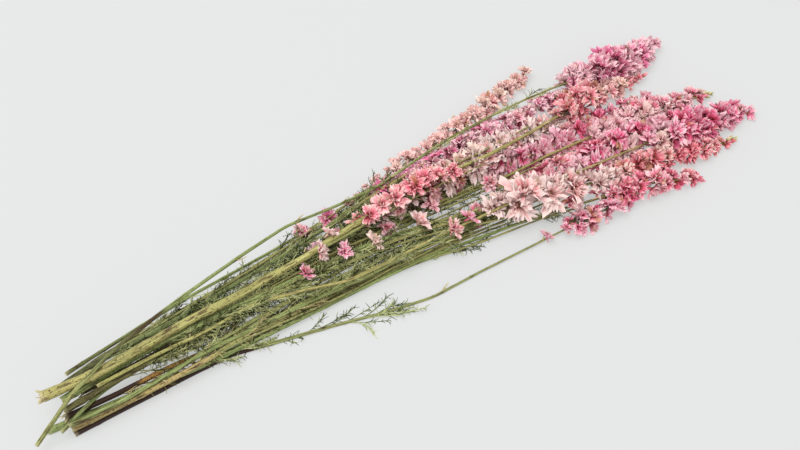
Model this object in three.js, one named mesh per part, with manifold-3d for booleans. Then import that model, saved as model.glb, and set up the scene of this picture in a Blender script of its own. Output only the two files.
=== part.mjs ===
// A bunch of dried delphinium (larkspur), lying down: cut stems with finely cut leaves, and a spike
// of pink florets at the end of each. +X runs from the cut ends to the flower tips and +Z is up.
// The lowest stems rest on z = 0, and each later stem lies on the ones before it. Millimetres.
import * as THREE from "three";
import { mergeVertices } from "three/addons/utils/BufferGeometryUtils.js";
import Module from "manifold-3d";

const wasm = await Module();
wasm.setup();

// The pile
const CLEAR = 0.4; // air between two stems that lie on each other
const APART = 0.31; // least air between petals or leaves and their neighbours
const STEP = 46; // most length of a stem from one ring of its tube to the next
const SIDES = 6; // sides of a stem
const TAPER = 1.2; // how fast a stem thins from its cut end: 1 is even, and more is faster at first
const SAG = 0.25; // how far a ring sinks below the middle of its neighbours as a stem settles
const ROUNDS = 300; // rounds of settling
const MIDDLE = { x: 0.6, y: -0.5 }; // middle of the bunch in the plan that the routes are drawn in

// Florets and leaves
const GOLDEN = THREE.MathUtils.degToRad(137.5); // turn from one floret or leaf to the next
const FLORET_STEP = 9.5; // length of spike for each floret
const FLORET_DEPTH = 0.4; // from root to rim, in floret diameters
const BED = 0.33; // how far a spike keeps what it lies on from its rachis, in floret diameters
const PETALS = 5;
const NOTCH = 0.6; // where two petals meet, in floret radii
const MIDDLE_RISE = 1.15; // height of a floret's middle over its root, in floret depths
const RACHIS = 1.8; // radius of a spike's core where it starts
const RACHIS_SIDES = 4;
const SUNK = 0.5; // how far off the middle of the core a floret's root lies, in core radii
const LEAN = { start: 70, end: 50 }; // degrees from forward that florets lean along a spike
const BUD_TIP = 14; // length of the green tip of a spike that is still in bud
const BUDS = 5; // closed buds on a green tip
const BUD_STEP = 2.4; // length of tip for each bud
const BUD_SIZE = { radius: 1.3, length: 6.4 }; // the lowest bud of a green tip
const LEAF = 24; // length of a leaf's middle thread
const LEAF_LEAN = { least: 18, most: 40 }; // degrees from forward that leaves lean
const FAN = { least: 18, most: 32 }; // degrees from a leaf's middle thread to its outer ones
const OUTER_THREAD = 0.7; // length of an outer thread, in lengths of the middle one
const THREAD = 0.75; // radius of a leaf thread at its root
const LONE_LEAN = 62; // degrees from forward that a lone floret leans

// What is tried in turn where a floret or leaf meets a neighbour: sizes, and degrees round its stem
const SCALES = [1, 0.82, 0.66];
const TURNS = [0, 22, -22, 44, -44, 66, -66, 95, -95, 125, -125];

const PALE_GREEN = 0xa3a965;
const GREEN = 0x6f7f45;
const DARK_GREEN = 0x4d5f38;
const OLIVE = 0x7a7a3f;
const RUST = 0x9a6a34;
const BLACKISH = 0x4a3328;
const BUD_GREEN = 0xa8b27a;
const DEEP_PINK = 0xd9578c;
const MID_PINK = 0xe885aa;
const SALMON_PINK = 0xeb9a9e;
const ORCHID_PINK = 0xe283b4;
const PALE_PINK = 0xf3cdcc;

// Stems from the lowest in the pile to the highest. route: where the stem runs in plan, from its
// cut end to the tip of its spike. thick: radius at the cut end and at the tip. spike: its length.
// floret: diameter of its florets. leaves: how many, and from where to where along the stem.
const STEMS = [
  {
    name: "low_edge", thick: [2.1, 0.8], spike: 84, floret: 17, color: BLACKISH, bloom: DEEP_PINK,
    leaves: { count: 10, from: 190, to: 345 },
    route: [[-334, -32], [-212, -32], [-186, -36], [-109, -53], [-30, -73], [27, -74], [203, -82]],
  },
  {
    name: "near_green", thick: [3.1, 0.9], spike: 107, floret: 19, color: GREEN, bloom: MID_PINK,
    leaves: { count: 4, from: 230, to: 460 },
    route: [[-351, -18], [-212, -32], [-26, -36], [107, -54], [139, -63], [207, -76], [267, -96]],
  },
  {
    name: "far_edge", thick: [1.7, 0.8], spike: 244, floret: 16, color: GREEN, bloom: SALMON_PINK,
    leaves: { count: 7, from: 90, to: 270 },
    route: [[-322, 22], [-209, 37], [-110, 42], [-58, 47], [24, 61], [82, 68], [201, 97]],
  },
  {
    name: "rust", thick: [2.5, 0.9], spike: 148, floret: 21, color: RUST, bloom: SALMON_PINK,
    leaves: { count: 2, from: 200, to: 420 }, inBud: true,
    route: [
      [-335, -16], [-307, -18], [-249, -18], [-219, -21], [-125, -19], [-60, -28], [117, -37],
      [190, -47], [300, -74], [331, -78],
    ],
  },
  {
    name: "brown", thick: [2.7, 0.9], spike: 219, floret: 21, color: RUST, bloom: MID_PINK,
    leaves: { count: 3, from: 60, to: 380 },
    route: [[-334, -29], [-255, -33], [-200, -30], [47, -27], [189, -20], [293, -26]],
  },
  {
    name: "thin_green", thick: [1.9, 0.8], spike: 238, floret: 19, color: GREEN, bloom: DEEP_PINK,
    leaves: { count: 8, from: 90, to: 280 },
    route: [
      [-341, -30], [-321, -19], [-277, -8], [-102, 14], [-47, 25], [-19, 24], [98, 16], [185, 14],
    ],
  },
  {
    name: "under_mid", thick: [2.6, 0.8], spike: 210, floret: 21, color: OLIVE, bloom: DEEP_PINK,
    leaves: { count: 8, from: 110, to: 370 },
    route: [[-316, -7], [-266, -6], [-71, 8], [54, 9], [153, 3], [226, 7], [291, 6]],
  },
  {
    name: "low_pair", thick: [2, 0.8], spike: 170, floret: 21, color: GREEN, bloom: DEEP_PINK,
    leaves: { count: 4, from: 190, to: 430 },
    route: [
      [-334, -29], [-281, -31], [-197, -26], [-76, -28], [-11, -28], [161, -34], [237, -31],
      [310, -32],
    ],
  },
  {
    name: "second_far", thick: [1.7, 0.8], spike: 140, floret: 20, color: OLIVE,
    bloom: ORCHID_PINK, leaves: { count: 9, from: 60, to: 280 },
    route: [[-333, 14], [-276, 24], [-173, 31], [-85, 40], [57, 40], [102, 42]],
  },
  {
    name: "leafy_back", thick: [2.5, 0.8], spike: 216, floret: 22, color: DARK_GREEN,
    bloom: ORCHID_PINK, leaves: { count: 12, from: 30, to: 340 },
    route: [
      [-339, 10], [-316, 16], [-217, 19], [-82, 31], [-54, 37], [4, 39], [34, 44], [132, 48],
      [231, 57],
    ],
  },
  {
    name: "olive", thick: [2.9, 0.9], spike: 153, floret: 22, color: OLIVE, bloom: MID_PINK,
    leaves: { count: 8, from: 100, to: 400 }, inBud: true,
    route: [
      [-333, -15], [-277, -11], [-249, -10], [-92, 3], [11, 3], [120, -5], [158, -5], [277, -11],
      [349, -22],
    ],
  },
  {
    name: "leafy_mid", thick: [2.4, 0.8], spike: 223, floret: 21, color: DARK_GREEN,
    bloom: PALE_PINK, leaves: { count: 12, from: 60, to: 290 },
    route: [[-309, 8], [-241, 9], [-146, 14], [-121, 13], [-44, 16], [8, 16], [94, 23], [215, 30]],
  },
  {
    name: "bright", thick: [3.1, 1.1], spike: 136, floret: 27, color: GREEN, bloom: PALE_PINK,
    leaves: { count: 6, from: 80, to: 380 },
    route: [[-331, -7], [-236, -1], [-161, -5], [-52, -5], [31, -18], [85, -36], [199, -57]],
  },
  {
    name: "pale_thin", thick: [1.6, 0.9], spike: 124, floret: 22, color: PALE_GREEN,
    bloom: DEEP_PINK, leaves: { count: 3, from: 150, to: 450 },
    route: [
      [-302, -12], [-274, -10], [-218, -12], [-158, -9], [-69, -33], [-5, -33], [96, -40],
      [251, -44], [364, -58],
    ],
  },
  {
    name: "thick", thick: [4.8, 1], spike: 114, floret: 23, color: PALE_GREEN,
    bloom: SALMON_PINK, leaves: { count: 2, from: 220, to: 400 },
    route: [
      [-342, -2], [-317, -5], [-264, -3], [-209, 2], [-152, 3], [-61, 12], [36, 17], [106, 17],
      [184, 26], [226, 32], [267, 30], [299, 32],
    ],
  },
  {
    name: "cross", thick: [1.8, 0.9], spike: 125, floret: 27, color: GREEN, bloom: ORCHID_PINK,
    leaves: { count: 2, from: 440, to: 580 },
    route: [
      [-362, -29], [-285, -1], [-227, 17], [-163, 33], [-95, 47], [-25, 43], [13, 51], [52, 55],
      [93, 62], [175, 64], [216, 62], [258, 55], [302, 53], [341, 62],
    ],
  },
];

// Florets that stand by themselves on the leafy part of a stem. along: length from the cut end.
// turn: degrees round the stem from straight up, positive towards +Y.
const LONE_FLORETS = [
  { stem: "thick", along: 252, turn: -75, size: 15, color: PALE_PINK },
  { stem: "bright", along: 222, turn: -10, size: 13, color: DEEP_PINK },
  { stem: "second_far", along: 246, turn: 20, size: 14, color: SALMON_PINK },
  { stem: "thick", along: 268, turn: 40, size: 11, color: PALE_PINK },
  { stem: "bright", along: 262, turn: 10, size: 14, color: DEEP_PINK },
  { stem: "bright", along: 290, turn: -20, size: 14, color: DEEP_PINK },
  { stem: "bright", along: 334, turn: 20, size: 19, color: PALE_PINK },
  { stem: "pale_thin", along: 330, turn: -20, size: 15, color: SALMON_PINK },
  { stem: "pale_thin", along: 348, turn: 25, size: 14, color: DEEP_PINK },
  { stem: "low_edge", along: 440, turn: 10, size: 11, color: DEEP_PINK },
];

// A seeded draw between 0 and 1, so that the bunch comes out the same each time
function seeded(seed) {
  let state = seed;
  return () => {
    state = (state + 0x6d2b79f5) | 0;
    let mixed = Math.imul(state ^ (state >>> 15), 1 | state);
    mixed = (mixed + Math.imul(mixed ^ (mixed >>> 7), 61 | mixed)) ^ mixed;
    return ((mixed ^ (mixed >>> 14)) >>> 0) / 4294967296;
  };
}

// Solids: a closed geometry as a manifold, and back again
function solidOf(geometry) {
  geometry.deleteAttribute("normal");
  geometry.deleteAttribute("uv");
  const merged = mergeVertices(geometry, 1e-4);
  return new wasm.Manifold(
    new wasm.Mesh({
      numProp: 3,
      vertProperties: new Float32Array(merged.attributes.position.array),
      triVerts: new Uint32Array(merged.index.array),
    }),
  );
}

function geometryOf(solid) {
  const mesh = solid.getMesh();
  const geometry = new THREE.BufferGeometry();
  geometry.setAttribute("position", new THREE.BufferAttribute(mesh.vertProperties, 3));
  geometry.setIndex(new THREE.BufferAttribute(mesh.triVerts, 1));
  geometry.computeVertexNormals();
  return geometry;
}

// How full a spike is at a part q of its length: it fills out quickly and tapers to its tip
function fullness(q) {
  return Math.min(1, 0.6 + 2 * q, 0.5 + 1.1 * (1 - q));
}

// Radius of a spike's core at a part q of its length
function coreRadius(q) {
  return RACHIS * (1 - 0.6 * q);
}

// The rings of a stem and its spike in plan, evenly spaced along each: place, radius, and reach,
// which is how near another stem may come
function ringsInPlan(stem) {
  const points = stem.route.map(([x, y]) => new THREE.Vector3(x, y, 0));
  const curve = new THREE.CatmullRomCurve3(points, false, "catmullrom", 0.5);
  curve.arcLengthDivisions = 600;
  const length = curve.getLength();
  const stalk = length - stem.spike;
  const stalkSteps = Math.ceil(stalk / STEP);
  const spikeSteps = Math.ceil(stem.spike / STEP);
  const rings = [];
  for (let i = 0; i <= stalkSteps + spikeSteps; i++) {
    const onSpike = Math.max(0, i - stalkSteps) / spikeSteps;
    const along = stalk * Math.min(1, i / stalkSteps) + stem.spike * onSpike;
    const { x, y } = curve.getPointAt(along / length);
    const [base, tip] = stem.thick;
    const radius = tip + (base - tip) * (1 - along / length) ** TAPER;
    const inSpike = i > stalkSteps;
    const reach = inSpike ? BED * stem.floret * fullness(onSpike) : radius;
    const floor = inSpike ? reach : radius * Math.cos(Math.PI / SIDES);
    rings.push({ x, y, along, radius, reach, floor });
  }
  return { rings, stalkSteps, stalk, length };
}

// Points between the rings, a number to each step, with everything that a ring holds
function between(rings, perStep) {
  const points = [];
  for (let k = 0; k <= (rings.length - 1) * perStep; k++) {
    const ring = Math.min(Math.floor(k / perStep), rings.length - 2);
    const part = k / perStep - ring;
    const point = { ring, part };
    for (const key of Object.keys(rings[ring])) {
      point[key] = THREE.MathUtils.lerp(rings[ring][key], rings[ring + 1][key], part);
    }
    points.push(point);
  }
  return points;
}

// Lays a stem on the pile: its rings sink like a slack string until a point of it meets the floor
// or a stem that already lies there
function settle(rings, pile) {
  const points = between(rings, 8);
  for (const point of points) {
    point.need = point.floor;
    for (const other of pile) {
      const across = Math.hypot(point.x - other.x, point.y - other.y);
      const apart = point.reach + other.reach + CLEAR;
      if (across < apart) {
        point.need = Math.max(point.need, other.z + Math.sqrt(apart ** 2 - across ** 2));
      }
    }
  }
  const last = rings.length - 1;
  const sink = (z) =>
    z.map((height, i) => {
      let sunk;
      if (i === 0) sunk = Math.min(height, 2 * z[1] - z[2]) - SAG / 2;
      else if (i === last) sunk = Math.min(height, 2 * z[last - 1] - z[last - 2]) - SAG / 2;
      else sunk = (z[i - 1] + z[i + 1]) / 2 - SAG;
      return Math.max(sunk, rings[i].floor);
    });
  const lift = (z) => {
    const rise = z.map(() => 0);
    for (const { ring, part, need } of points) {
      const short = need - THREE.MathUtils.lerp(z[ring], z[ring + 1], part);
      const share = (1 - part) ** 2 + part ** 2;
      rise[ring] = Math.max(rise[ring], (short * (1 - part)) / share);
      rise[ring + 1] = Math.max(rise[ring + 1], (short * part) / share);
    }
    return z.map((height, i) => height + rise[i]);
  };
  let z = rings.map((ring) => ring.floor);
  for (let round = 0; round < ROUNDS; round++) {
    z = lift(lift(lift(sink(z))));
  }
  for (let round = 0; round < 20; round++) {
    z = lift(z);
  }
  rings.forEach((ring, i) => {
    ring.z = z[i];
  });
}

// The frame of a stem at a length along it: place, forward, side (level) and up
function frameAt(rings, along) {
  const last = rings.length - 2;
  const ring = Math.max(0, Math.min(last, rings.findIndex((r) => r.along > along) - 1));
  const i = along >= rings[last + 1].along ? last : ring;
  const [a, b] = [rings[i], rings[i + 1]];
  const part = (along - a.along) / (b.along - a.along);
  const from = new THREE.Vector3(a.x, a.y, a.z);
  const to = new THREE.Vector3(b.x, b.y, b.z);
  const forward = to.clone().sub(from).normalize();
  const side = new THREE.Vector3(0, 0, 1).cross(forward).normalize();
  const up = forward.clone().cross(side);
  const radius = THREE.MathUtils.lerp(a.radius, b.radius, part);
  return { place: from.lerp(to, part), forward, side, up, radius };
}

// A tube through rings: a cylinder whose rows of points are carried to them, with a flat underneath
function tube(rings, radii, sides) {
  const rows = rings.length - 1;
  const geometry = new THREE.CylinderGeometry(1, 1, 1, sides, rows, false, Math.PI / sides);
  const points = rings.map((ring) => new THREE.Vector3(ring.x, ring.y, ring.z));
  const position = geometry.attributes.position;
  const corner = new THREE.Vector3();
  for (let i = 0; i < position.count; i++) {
    corner.fromBufferAttribute(position, i);
    const row = Math.round((0.5 - corner.y) * rows);
    const before = points[Math.max(row - 1, 0)];
    const after = points[Math.min(row + 1, rows)];
    const forward = after.clone().sub(before).normalize();
    const side = new THREE.Vector3(0, 0, 1).cross(forward).normalize();
    const up = forward.cross(side);
    const place = points[row].clone();
    place.addScaledVector(side, corner.x * radii[row]).addScaledVector(up, corner.z * radii[row]);
    position.setXYZ(i, place.x, place.y, place.z);
  }
  return solidOf(geometry);
}

// A floret: a five-sided cone that opens from its root, with five pointed petals round its rim and
// a raised middle
function floret(root, direction, size, random) {
  const depth = FLORET_DEPTH * size;
  const across = new THREE.Vector3(0, 0, 1).cross(direction).normalize();
  const upright = direction.clone().cross(across);
  const turned = random() * Math.PI;
  const rimPoint = (k, out, forward) => {
    const angle = turned + (k * Math.PI) / PETALS;
    const place = root.clone().addScaledVector(direction, forward);
    place.addScaledVector(across, out * Math.cos(angle));
    return place.addScaledVector(upright, out * Math.sin(angle));
  };
  const middle = root.clone().addScaledVector(direction, MIDDLE_RISE * depth);
  const tips = [];
  const notches = [];
  for (let k = 0; k < PETALS; k++) {
    const length = (size / 2) * (0.85 + 0.3 * random());
    tips.push(rimPoint(2 * k, length, depth * (0.8 + 0.4 * random())));
    notches.push(rimPoint(2 * k + 1, (NOTCH * size) / 2, 0.85 * depth));
  }
  const corners = [];
  for (let k = 0; k < PETALS; k++) {
    const [before, after] = [notches[(k + PETALS - 1) % PETALS], notches[k]];
    corners.push(root, after, before, before, after, tips[k]);
    corners.push(middle, before, tips[k], middle, tips[k], after);
  }
  return solidOf(new THREE.BufferGeometry().setFromPoints(corners));
}

// The turn that carries a shape's own +Y to a direction
function turnTo(direction) {
  return new THREE.Quaternion().setFromUnitVectors(new THREE.Vector3(0, 1, 0), direction);
}

// A thread: a three-sided needle from a root
function thread(root, direction, length) {
  const geometry = new THREE.ConeGeometry(THREAD, length, 3, 1);
  geometry.translate(0, length / 2, 0);
  geometry.applyQuaternion(turnTo(direction)).translate(root.x, root.y, root.z);
  return solidOf(geometry);
}

// A leaf: a fan of threads from one root
function leaf(root, direction, across, size, random) {
  const threads = [-1, 0, 1].map((way) => {
    const angle = way * THREE.MathUtils.degToRad(THREE.MathUtils.lerp(FAN.least, FAN.most, random()));
    const fanned = direction.clone().multiplyScalar(Math.cos(angle));
    fanned.addScaledVector(across, Math.sin(angle)).normalize();
    return thread(root, fanned, size * (way === 0 ? 1 : OUTER_THREAD));
  });
  return wasm.Manifold.union(threads);
}

// A direction that leans out from a stem: lean is the angle from forward, turn the angle round it
function leaning(frame, lean, turn) {
  const direction = frame.forward.clone().multiplyScalar(Math.cos(lean));
  direction.addScaledVector(frame.side, Math.sin(lean) * Math.sin(turn));
  direction.addScaledVector(frame.up, Math.sin(lean) * Math.cos(turn));
  return direction.normalize();
}

// Everything placed so far, by node, so that a new petal or leaf can be tested against the rest
const placed = [];

function keep(node, solid) {
  placed.push({ node, solid, box: solid.boundingBox() });
}

function isClear(node, solid) {
  const box = solid.boundingBox();
  if (box.min[2] < 0) return false;
  const near = (other) =>
    [0, 1, 2].every((axis) => {
      const below = other.box.min[axis] < box.max[axis] + APART;
      return below && other.box.max[axis] > box.min[axis] - APART;
    });
  return !placed.some(
    (other) => other.node !== node && near(other) && solid.minGap(other.solid, APART) < APART,
  );
}

// Tries a part turned a little one way and the other round its stem, and then smaller, until it
// lies clear of the other nodes. What has no room is left out.
function placeWhereClear(node, turn, size, make) {
  for (const scale of SCALES) {
    for (const degrees of TURNS) {
      const solid = make(turn + THREE.MathUtils.degToRad(degrees), scale * size);
      if (isClear(node, solid)) {
        keep(node, solid);
        return solid;
      }
    }
  }
  return null;
}

// Stems, laid one on another, and the cores of their spikes
const pile = [];
const laid = STEMS.map((stem) => {
  const plan = ringsInPlan(stem);
  settle(plan.rings, pile);
  pile.push(...between(plan.rings, 24));
  const coreEnd = stem.inBud ? plan.length - BUD_TIP : plan.length - 2;
  const stalkRings = plan.rings.slice(0, plan.stalkSteps + 1);
  const stalkSolid = tube(stalkRings, stalkRings.map((ring) => ring.radius), SIDES);
  const start = frameAt(plan.rings, plan.stalk + APART);
  const end = frameAt(plan.rings, coreEnd);
  const coreRings = [
    start.place,
    ...plan.rings.slice(plan.stalkSteps + 1).filter((ring) => ring.along < coreEnd - 5),
    end.place,
  ];
  const coreRadii = coreRings.map((ring, i) => coreRadius(i / (coreRings.length - 1)));
  const coreSolid = tube(coreRings, coreRadii, RACHIS_SIDES);
  return { stem, ...plan, coreEnd, stalkSolid, coreSolid };
});

const parts = new Map();

function addTo(node, color, solid) {
  if (!parts.has(node)) parts.set(node, { color, solids: [] });
  parts.get(node).solids.push(solid);
}

for (const { stem, stalkSolid, coreSolid } of laid) {
  keep(`stem_${stem.name}`, stalkSolid);
  keep(`spike_${stem.name}`, coreSolid);
  addTo(`stem_${stem.name}`, stem.color, stalkSolid);
  addTo(`spike_${stem.name}`, stem.bloom, coreSolid);
}

// Green bud tips on the spikes that haven't opened to the end: a thin core with closed buds
for (const { stem, rings, coreEnd, length } of laid.filter((one) => one.stem.inBud)) {
  const node = `bud_tip_${stem.name}`;
  const from = frameAt(rings, coreEnd + APART);
  const to = frameAt(rings, length);
  const solids = [tube([from.place, to.place], [0.9, 0.6], 4)];
  for (let k = 0; k < BUDS; k++) {
    const frame = frameAt(rings, coreEnd + (k + 1) * BUD_STEP);
    const way = leaning(frame, THREE.MathUtils.degToRad(LEAN.end - 8 * k), k * GOLDEN);
    const share = 1 - 0.1 * k;
    const bud = new THREE.OctahedronGeometry(1, 0);
    bud.scale(share * BUD_SIZE.radius, (share * BUD_SIZE.length) / 2, share * BUD_SIZE.radius);
    bud.translate(0, 0.3 * BUD_SIZE.length, 0);
    bud.applyQuaternion(turnTo(way)).translate(frame.place.x, frame.place.y, frame.place.z);
    solids.push(solidOf(bud));
  }
  for (const solid of solids) {
    keep(node, solid);
    addTo(node, BUD_GREEN, solid);
  }
}

// Lone florets, each held just clear of the stem that it grows from
const count = new Map();
for (const { stem, along, turn, size, color } of LONE_FLORETS) {
  const number = (count.get(stem) ?? 0) + 1;
  count.set(stem, number);
  const node = `floret_${stem}_${number}`;
  const { rings } = laid.find((one) => one.stem.name === stem);
  const frame = frameAt(rings, along);
  const random = seeded(1000 + parts.size);
  const solid = placeWhereClear(node, THREE.MathUtils.degToRad(turn), size, (angle, diameter) => {
    const way = leaning(frame, THREE.MathUtils.degToRad(LONE_LEAN), angle);
    const radial = leaning(frame, Math.PI / 2, angle);
    const root = frame.place.clone().addScaledVector(radial, frame.radius + CLEAR);
    return floret(root, way, diameter, random);
  });
  if (solid) addTo(node, color, solid);
}

// Florets round each spike, one on every spike in turn, so that none takes another's room
const mostFlorets = Math.max(...STEMS.map((stem) => Math.round(stem.spike / FLORET_STEP)));
const draws = STEMS.map((stem, i) => seeded(10 + i));
for (let k = 0; k < mostFlorets; k++) {
  laid.forEach(({ stem, rings, stalk, coreEnd }, i) => {
    const florets = Math.round((coreEnd - stalk) / FLORET_STEP);
    if (k >= florets) return;
    const q = (k + 0.5) / florets;
    const frame = frameAt(rings, stalk + q * (coreEnd - stalk));
    const lean = THREE.MathUtils.degToRad(THREE.MathUtils.lerp(LEAN.start, LEAN.end, q));
    const node = `spike_${stem.name}`;
    const size = stem.floret * fullness(q);
    const solid = placeWhereClear(node, i + k * GOLDEN, size, (angle, diameter) => {
      const outward = leaning(frame, Math.PI / 2, angle);
      const root = frame.place.clone().addScaledVector(outward, SUNK * coreRadius(q));
      return floret(root, leaning(frame, lean, angle), diameter, draws[i]);
    });
    if (solid) addTo(node, stem.bloom, solid);
  });
}

// Leaves round the leafy length of each stem
laid.forEach(({ stem, rings }, i) => {
  const random = seeded(500 + i);
  const { count: leaves, from, to } = stem.leaves;
  for (let k = 0; k < leaves; k++) {
    const frame = frameAt(rings, from + ((k + 0.5) / leaves) * (to - from));
    const node = `stem_${stem.name}`;
    const lean = THREE.MathUtils.degToRad(
      THREE.MathUtils.lerp(LEAF_LEAN.least, LEAF_LEAN.most, random()),
    );
    const size = LEAF * (0.75 + 0.5 * random());
    const solid = placeWhereClear(node, 2 * i + k * GOLDEN, size, (angle, length) => {
      const across = leaning(frame, Math.PI / 2, angle + Math.PI / 2);
      return leaf(frame.place, leaning(frame, lean, angle), across, length, random);
    });
    if (solid) addTo(node, stem.color, solid);
  }
});

// Fuses what grows together into one solid, and drops any scrap that fusing leaves
function fuse(solids) {
  const pieces = wasm.Manifold.union(solids).simplify(0.02).decompose();
  return pieces.reduce((a, b) => (b.volume() > a.volume() ? b : a));
}

const bunch = new THREE.Group();
bunch.position.set(-MIDDLE.x, -MIDDLE.y, 0);
for (const [name, { color, solids }] of parts) {
  const material = new THREE.MeshStandardMaterial({ color, roughness: 0.8, metalness: 0 });
  const mesh = new THREE.Mesh(geometryOf(fuse(solids)), material);
  mesh.name = name;
  bunch.add(mesh);
}

export default bunch;
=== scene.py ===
"""A bunch of dried delphinium that lies on a pale surface: cut stalks, finely cut leaves and spikes
of crumpled pink florets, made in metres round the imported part."""
import math

import bpy
import numpy as np
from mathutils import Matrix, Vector


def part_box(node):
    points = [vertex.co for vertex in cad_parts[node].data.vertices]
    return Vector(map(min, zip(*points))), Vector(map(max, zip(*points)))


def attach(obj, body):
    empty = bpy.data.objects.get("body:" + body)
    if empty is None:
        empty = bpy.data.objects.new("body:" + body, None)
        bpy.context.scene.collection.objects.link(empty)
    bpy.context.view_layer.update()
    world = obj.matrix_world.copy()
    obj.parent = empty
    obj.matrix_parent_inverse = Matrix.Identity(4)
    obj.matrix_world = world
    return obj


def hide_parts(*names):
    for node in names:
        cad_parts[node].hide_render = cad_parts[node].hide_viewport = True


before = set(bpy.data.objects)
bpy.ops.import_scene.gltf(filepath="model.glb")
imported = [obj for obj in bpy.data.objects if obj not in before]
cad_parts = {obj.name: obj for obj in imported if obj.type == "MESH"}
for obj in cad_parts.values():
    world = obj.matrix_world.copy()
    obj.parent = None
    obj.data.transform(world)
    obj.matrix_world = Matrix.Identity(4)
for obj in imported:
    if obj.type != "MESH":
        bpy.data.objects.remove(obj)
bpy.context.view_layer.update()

# How the stems lie
# Sixteen cut stems are laid one on another on a flat surface. Each keeps its route in plan and
# sinks until it meets the surface or a stem that lies there already, as the solids of the part do.

# The stems in the order in which they are laid, in millimetres: the radius at the cut end and at
# the tip, the length of the spike, the size of its florets, and the route in plan
STEMS = {
    "low_edge": {"thick": (2.1, 0.8), "spike": 84, "floret": 17, "route": [
        (-334, -32), (-212, -32), (-186, -36), (-109, -53), (-30, -73), (27, -74), (203, -82)]},
    "near_green": {"thick": (3.1, 0.9), "spike": 107, "floret": 19, "route": [
        (-351, -18), (-212, -32), (-26, -36), (107, -54), (139, -63), (207, -76), (267, -96)]},
    "far_edge": {"thick": (1.7, 0.8), "spike": 244, "floret": 16, "route": [
        (-322, 22), (-209, 37), (-110, 42), (-58, 47), (24, 61), (82, 68), (201, 97)]},
    "rust": {"thick": (2.5, 0.9), "spike": 148, "floret": 21, "route": [
        (-335, -16), (-307, -18), (-249, -18), (-219, -21), (-125, -19), (-60, -28), (117, -37),
        (190, -47), (300, -74), (331, -78)]},
    "brown": {"thick": (2.7, 0.9), "spike": 219, "floret": 21, "route": [
        (-334, -29), (-255, -33), (-200, -30), (47, -27), (189, -20), (293, -26)]},
    "thin_green": {"thick": (1.9, 0.8), "spike": 238, "floret": 19, "route": [
        (-341, -30), (-321, -19), (-277, -8), (-102, 14), (-47, 25), (-19, 24), (98, 16),
        (185, 14)]},
    "under_mid": {"thick": (2.6, 0.8), "spike": 210, "floret": 21, "route": [
        (-316, -7), (-266, -6), (-71, 8), (54, 9), (153, 3), (226, 7), (291, 6)]},
    "low_pair": {"thick": (2.0, 0.8), "spike": 170, "floret": 21, "route": [
        (-334, -29), (-281, -31), (-197, -26), (-76, -28), (-11, -28), (161, -34), (237, -31),
        (310, -32)]},
    "second_far": {"thick": (1.7, 0.8), "spike": 140, "floret": 20, "route": [
        (-333, 14), (-276, 24), (-173, 31), (-85, 40), (57, 40), (102, 42)]},
    "leafy_back": {"thick": (2.5, 0.8), "spike": 216, "floret": 22, "route": [
        (-339, 10), (-316, 16), (-217, 19), (-82, 31), (-54, 37), (4, 39), (34, 44), (132, 48),
        (231, 57)]},
    "olive": {"thick": (2.9, 0.9), "spike": 153, "floret": 22, "route": [
        (-333, -15), (-277, -11), (-249, -10), (-92, 3), (11, 3), (120, -5), (158, -5),
        (277, -11), (349, -22)]},
    "leafy_mid": {"thick": (2.4, 0.8), "spike": 223, "floret": 21, "route": [
        (-309, 8), (-241, 9), (-146, 14), (-121, 13), (-44, 16), (8, 16), (94, 23), (215, 30)]},
    "bright": {"thick": (3.1, 1.1), "spike": 136, "floret": 27, "route": [
        (-331, -7), (-236, -1), (-161, -5), (-52, -5), (31, -18), (85, -36), (199, -57)]},
    "pale_thin": {"thick": (1.6, 0.9), "spike": 124, "floret": 22, "route": [
        (-302, -12), (-274, -10), (-218, -12), (-158, -9), (-69, -33), (-5, -33), (96, -40),
        (251, -44), (364, -58)]},
    "thick": {"thick": (4.8, 1.0), "spike": 114, "floret": 23, "route": [
        (-342, -2), (-317, -5), (-264, -3), (-209, 2), (-152, 3), (-61, 12), (36, 17), (106, 17),
        (184, 26), (226, 32), (267, 30), (299, 32)]},
    "cross": {"thick": (1.8, 0.9), "spike": 125, "floret": 27, "route": [
        (-362, -29), (-285, -1), (-227, 17), (-163, 33), (-95, 47), (-25, 43), (13, 51), (52, 55),
        (93, 62), (175, 64), (216, 62), (258, 55), (302, 53), (341, 62)]},
}
MM = 0.001  # in metres. Lengths that are written as numbers are in millimetres
PLAN_MIDDLE = (0.6, -0.5)  # the middle of the bunch in the plan that the routes are drawn in
RING_STEP = 46.0  # the most length of a stem from ring to ring
TAPER = 1.2  # how fast a stem thins from its cut end: 1 is even, and more is faster at first
STEM_CLEARANCE = 0.4  # air between two stems that lie on each other
BED = 0.33  # how far a spike keeps what it lies on from its middle, in floret sizes
SAG = 0.25  # how far a ring sinks below the middle of its neighbours in a round
SINKING_ROUNDS = 300
LAST_LIFTS = 20  # lifts without sinking, after the rounds
TESTED_STEPS = 8  # steps from ring to ring of a stem that is laid
PILE_STEPS = 24  # steps from ring to ring of a stem that it is held against
HEXAGON = math.cos(math.pi / 6)  # from the middle of a six-sided stalk to its sides, in radii
ROUNDED = 9  # length to each side of a corner that it is rounded over


def unit(vectors):
    """Vectors divided by their lengths, along the last axis."""
    return vectors / np.linalg.norm(vectors, axis=-1, keepdims=True)


def fullness(q):
    """How full a spike is at a part q of its length: the least of 1, 0.6 + 2 q and 1.6 - 1.1 q."""
    return np.minimum(np.minimum(1.0, 0.6 + 2.0 * q), 0.5 + 1.1 * (1.0 - q))


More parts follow.
